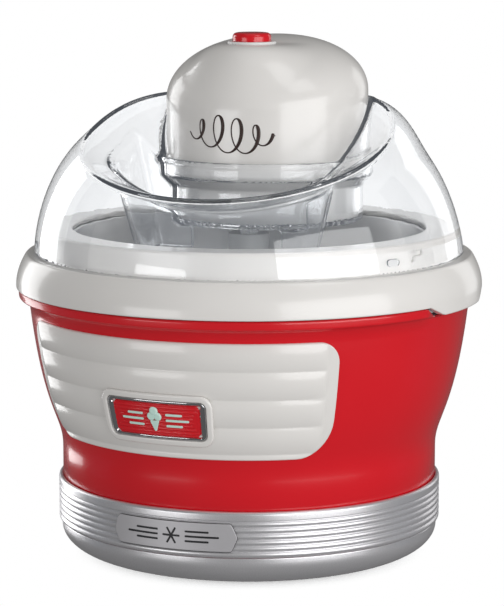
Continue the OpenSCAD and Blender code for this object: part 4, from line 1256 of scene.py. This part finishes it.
def make_flourish(unit):
    """Printed scroll of loops on the front of the housing, drawn as with a broad pen."""
    t = np.linspace(0, 1, 420)
    loops = 5
    loop_half = 0.0050
    wave = 0.0012
    thin, broad = 0.00038, 0.00070
    taper = 0.04
    swell = np.sin(math.pi * np.clip(t * 1.02, 0, 1)) ** 0.7
    phase = 2 * math.pi * loops * t + 2.2
    across = unit.motif_w * (t - 0.5) + loop_half * swell * np.cos(phase)
    up = unit.motif_h * 0.5 * swell * np.sin(phase) + wave * np.sin(2 * math.pi * t)
    ahead = np.stack([np.gradient(across), np.gradient(up)], 1)
    ahead /= np.linalg.norm(ahead, axis=1)[:, None]
    side = np.stack([-ahead[:, 1], ahead[:, 0]], 1)
    width = thin + broad * np.clip(ahead[:, 1], 0, 1) ** 2
    width *= smooth_step(t / taper) * smooth_step((1 - t) / taper) + 0.02
    middle = UNIT_Z + 0.0450
    rows = []
    for share, out in ((-1, -0.0002), (-0.8, 0.00012), (0.8, 0.00012), (1, -0.0002)):
        turn = (across + side[:, 0] * width * share) / UNIT_R + unit.motif_turn
        z = middle + up + side[:, 1] * width * share
        rows.append(round_axis(UNIT_R + out, turn, z, UNIT_Y))
    verts = np.stack(rows, 1).reshape(-1, 3)
    faces = [tuple(f) for f in grid_faces(len(t), 4, close_rows=False)]
    last = 4 * (len(t) - 1)
    faces += [(0, 1, 2, 3), (last + 3, last + 2, last + 1, last)]
    thing = mesh_object("printed_flourish", verts, faces, 1e-9)
    settle(thing, "motor_unit", "dark_plastic", finish="print", weighted=False)


# ---- Carried-over nodes ----


def finish_nodes():
    """Gives every node that still shows the material of its slot."""
    slots = {p["node"]: p["material_slot"] for p in frame["record"]["subparts"]}
    for name, thing in frame["nodes"].items():
        thing.data.materials.clear()
        thing.data.materials.append(MATERIALS[slots[name]])
        for polygon in thing.data.polygons:
            polygon.material_index = 0


# ---- Stage ----


def toward(turn_degrees, rise_degrees, distance):
    """Point at a turn from the camera's side, to its right, and a rise, round the object."""
    turn = VIEW_TURN + math.radians(turn_degrees)
    rise = math.radians(rise_degrees)
    flat = distance * math.cos(rise)
    middle_z = 0.14
    return Vector((flat * math.sin(turn), -flat * math.cos(turn), middle_z + distance * math.sin(rise)))


def soft_box(name, turn, rise, distance, width, tall, power):
    """Soft lamp aimed at the object, its turn counted from the camera's side to its right."""
    lamp = bpy.data.lights.new(name, "AREA")
    lamp.shape = "RECTANGLE"
    lamp.size = width
    lamp.size_y = tall
    lamp.energy = power
    thing = linked(name, lamp)
    thing.location = toward(turn, rise, distance)
    aim = Vector((0, 0, AIM_Z)) - thing.location
    thing.rotation_euler = aim.to_track_quat("-Z", "Y").to_euler()


def flag(name, turn, distance, width, tall):
    """Dark card beside the object, seen only in reflections and through clear plastic."""
    mesh = bpy.data.meshes.new(name)
    raised = 0.06
    w, h = width / 2, tall / 2
    mesh.from_pydata([(-w, 0, -h), (w, 0, -h), (w, 0, h), (-w, 0, h)], [], [(0, 1, 2, 3)])
    thing = linked(name, mesh)
    thing.location = toward(turn, 0, distance) + Vector((0, 0, raised))
    thing.rotation_euler = (0, 0, VIEW_TURN + math.radians(turn))
    mesh.materials.append(Finish(name, (0.16, 0.18, 0.21), 1.0).material)
    thing.visible_camera = False
    thing.visible_diffuse = False
    thing.visible_shadow = False


def make_world():
    """Pale surroundings: white where the camera looks, dimmer as light on the object."""
    world = bpy.data.worlds.new("studio")
    bpy.context.scene.world = world
    world.use_nodes = True
    wiring = Wiring(world.node_tree)
    rays = {name: wiring.node("ShaderNodeLightPath", output=name) for name in
            ("Is Camera Ray", "Is Transmission Ray", "Is Glossy Ray", "Diffuse Depth", "Transmission Depth")}
    direct = 1 - rays["Diffuse Depth"].maths("GREATER_THAN", 0.5)
    seen = rays["Is Camera Ray"].maths("MAXIMUM", rays["Is Transmission Ray"]) * direct
    outside = 1 - rays["Transmission Depth"].maths("GREATER_THAN", 0.5)
    ambient, mirrored = 0.34, 0.10
    around = ambient - rays["Is Glossy Ray"] * outside * (ambient - mirrored)
    shade = wiring.tree.nodes["Background"]
    shade.inputs["Color"].default_value = (1, 1, 1, 1)
    wiring.tree.links.new((seen + (1 - seen) * around).socket, shade.inputs["Strength"])


def make_floor():
    """Pale floor that fades out a little way round the object's foot."""
    half = 1.0
    pale = (0.93, 0.93, 0.93)
    roughness = 0.7
    fade_start, fade_end = 0.055, 0.092
    mesh = bpy.data.meshes.new("floor")
    corners = [(-half, -half, 0), (half, -half, 0), (half, half, 0), (-half, half, 0)]
    mesh.from_pydata(corners, [], [(0, 1, 2, 3)])
    made = Finish("floor", pale, roughness)
    made.vary(pale, 0.01, 2.0, roughness, 0.05)
    away = made.node("ShaderNodeVectorMath", {"operation": "LENGTH"}, [made.place()], output=1)
    span = {"Value": away, "From Min": fade_start, "From Max": fade_end, "To Min": 1.0, "To Max": 0.0}
    made.feed("Alpha", made.node("ShaderNodeMapRange", {"interpolation_type": "SMOOTHSTEP"}, span))
    mesh.materials.append(made.material)
    linked("floor", mesh)


def make_camera():
    """Camera with a long lens, a little above the object and looking down at it."""
    data = bpy.data.cameras.new("camera")
    data.sensor_width = 36
    data.lens = 165.4
    thing = linked("camera", data)
    distance, height = 1.400, 0.348
    down, aside = math.radians(8.99), math.radians(0.06)
    thing.location = (distance * math.sin(VIEW_TURN), -distance * math.cos(VIEW_TURN), height)
    thing.rotation_euler = (math.pi / 2 - down, 0, VIEW_TURN - aside)
    bpy.context.scene.camera = thing


# ---- Operators ----


class MakeStage(bpy.types.Operator):
    """Floor, surroundings, lights and camera"""

    bl_idname = "maker.stage"
    bl_label = "Stage"

    def execute(self, context):
        make_camera()
        make_world()
        make_floor()
        context.scene.view_settings.view_transform = "Standard"
        # Turn and rise in degrees, distance, width, height, power
        soft_box("key_right", 42, 6, 1.3, 1.35, 0.9, 12)
        soft_box("high_right", 48, 56, 1.2, 0.5, 0.5, 1.4)
        soft_box("rim_left", -132, 4, 1.1, 0.48, 0.9, 4.2)
        soft_box("rim_right", 136, 10, 1.2, 0.40, 0.8, 1.0)
        soft_box("fill_left", -46, -4, 1.6, 0.8, 0.5, 4.0)
        soft_box("top", 10, 84, 1.1, 0.9, 0.9, 0.8)
        flag("card_left", -98, 0.60, 0.22, 0.7)
        flag("card_right", 98, 0.60, 0.22, 0.7)
        return {"FINISHED"}


class MakeMaterials(bpy.types.Operator):
    """Every finish, and the materials of the nodes that are carried over"""

    bl_idname = "maker.materials"
    bl_label = "Finishes"

    def execute(self, context):
        MATERIALS.update(make_materials(context.scene.maker_colours))
        finish_nodes()
        return {"FINISHED"}


class MakeHolder(bpy.types.Operator):
    """Silver base, ribbed band and red body"""

    bl_idname = "maker.holder"
    bl_label = "Holder"

    def execute(self, context):
        sizes = context.scene.maker_holder
        make_base()
        make_band(sizes)
        make_body(sizes)
        return {"FINISHED"}


class MakePanel(bpy.types.Operator):
    """White panel, badge and name plate"""

    bl_idname = "maker.panel"
    bl_label = "Panel and badge"

    def execute(self, context):
        sizes = context.scene.maker_holder
        panel = context.scene.maker_panel
        make_panel(sizes, panel)
        make_badge(sizes, panel)
        make_name_plate(panel)
        return {"FINISHED"}


class MakeFreezerBowl(bpy.types.Operator):
    """White rim with its tabs, and the metal bowl"""

    bl_idname = "maker.freezer_bowl"
    bl_label = "Freezer bowl"

    def execute(self, context):
        make_rim(context.scene.maker_holder)
        make_bowl()
        return {"FINISHED"}


class MakeLid(bpy.types.Operator):
    """Clear lid with its pouring hollow, chute and cup"""

    bl_idname = "maker.lid"
    bl_label = "Lid"

    def execute(self, context):
        make_lid(context.scene.maker_lid, context.scene.maker_unit)
        return {"FINISHED"}


class MakeUnit(bpy.types.Operator):
    """Motor housing, button and printed flourish"""

    bl_idname = "maker.unit"
    bl_label = "Motor unit"

    def execute(self, context):
        unit = context.scene.maker_unit
        make_housing(unit)
        make_button()
        make_flourish(unit)
        return {"FINISHED"}


STEPS = (MakeStage, MakeMaterials, MakeHolder, MakePanel, MakeFreezerBowl, MakeLid, MakeUnit)


class MakerPanel(bpy.types.Panel):
    """Lists the steps that build the ice cream maker"""

    bl_label = "Ice cream maker"
    bl_idname = "VIEW3D_PT_ice_cream_maker"
    bl_space_type = "VIEW_3D"
    bl_region_type = "UI"
    bl_category = "Ice cream maker"

    def draw(self, context):
        for step in STEPS:
            self.layout.operator(step.bl_idname)
        for name, group in GROUPS.items():
            box = self.layout.box()
            for key in group.__annotations__:
                box.prop(getattr(context.scene, name), key)


def register():
    for group in GROUPS.values():
        bpy.utils.register_class(group)
    for name, group in GROUPS.items():
        setattr(bpy.types.Scene, name, bpy.props.PointerProperty(type=group))
    for step in (*STEPS, MakerPanel):
        bpy.utils.register_class(step)


def unregister():
    for step in (MakerPanel, *reversed(STEPS)):
        bpy.utils.unregister_class(step)
    for name, group in GROUPS.items():
        delattr(bpy.types.Scene, name)
        bpy.utils.unregister_class(group)


def main():
    register()
    for step in STEPS:
        group, name = step.bl_idname.split(".")
        getattr(getattr(bpy.ops, group), name)()


if __name__ == "__main__":
    main()
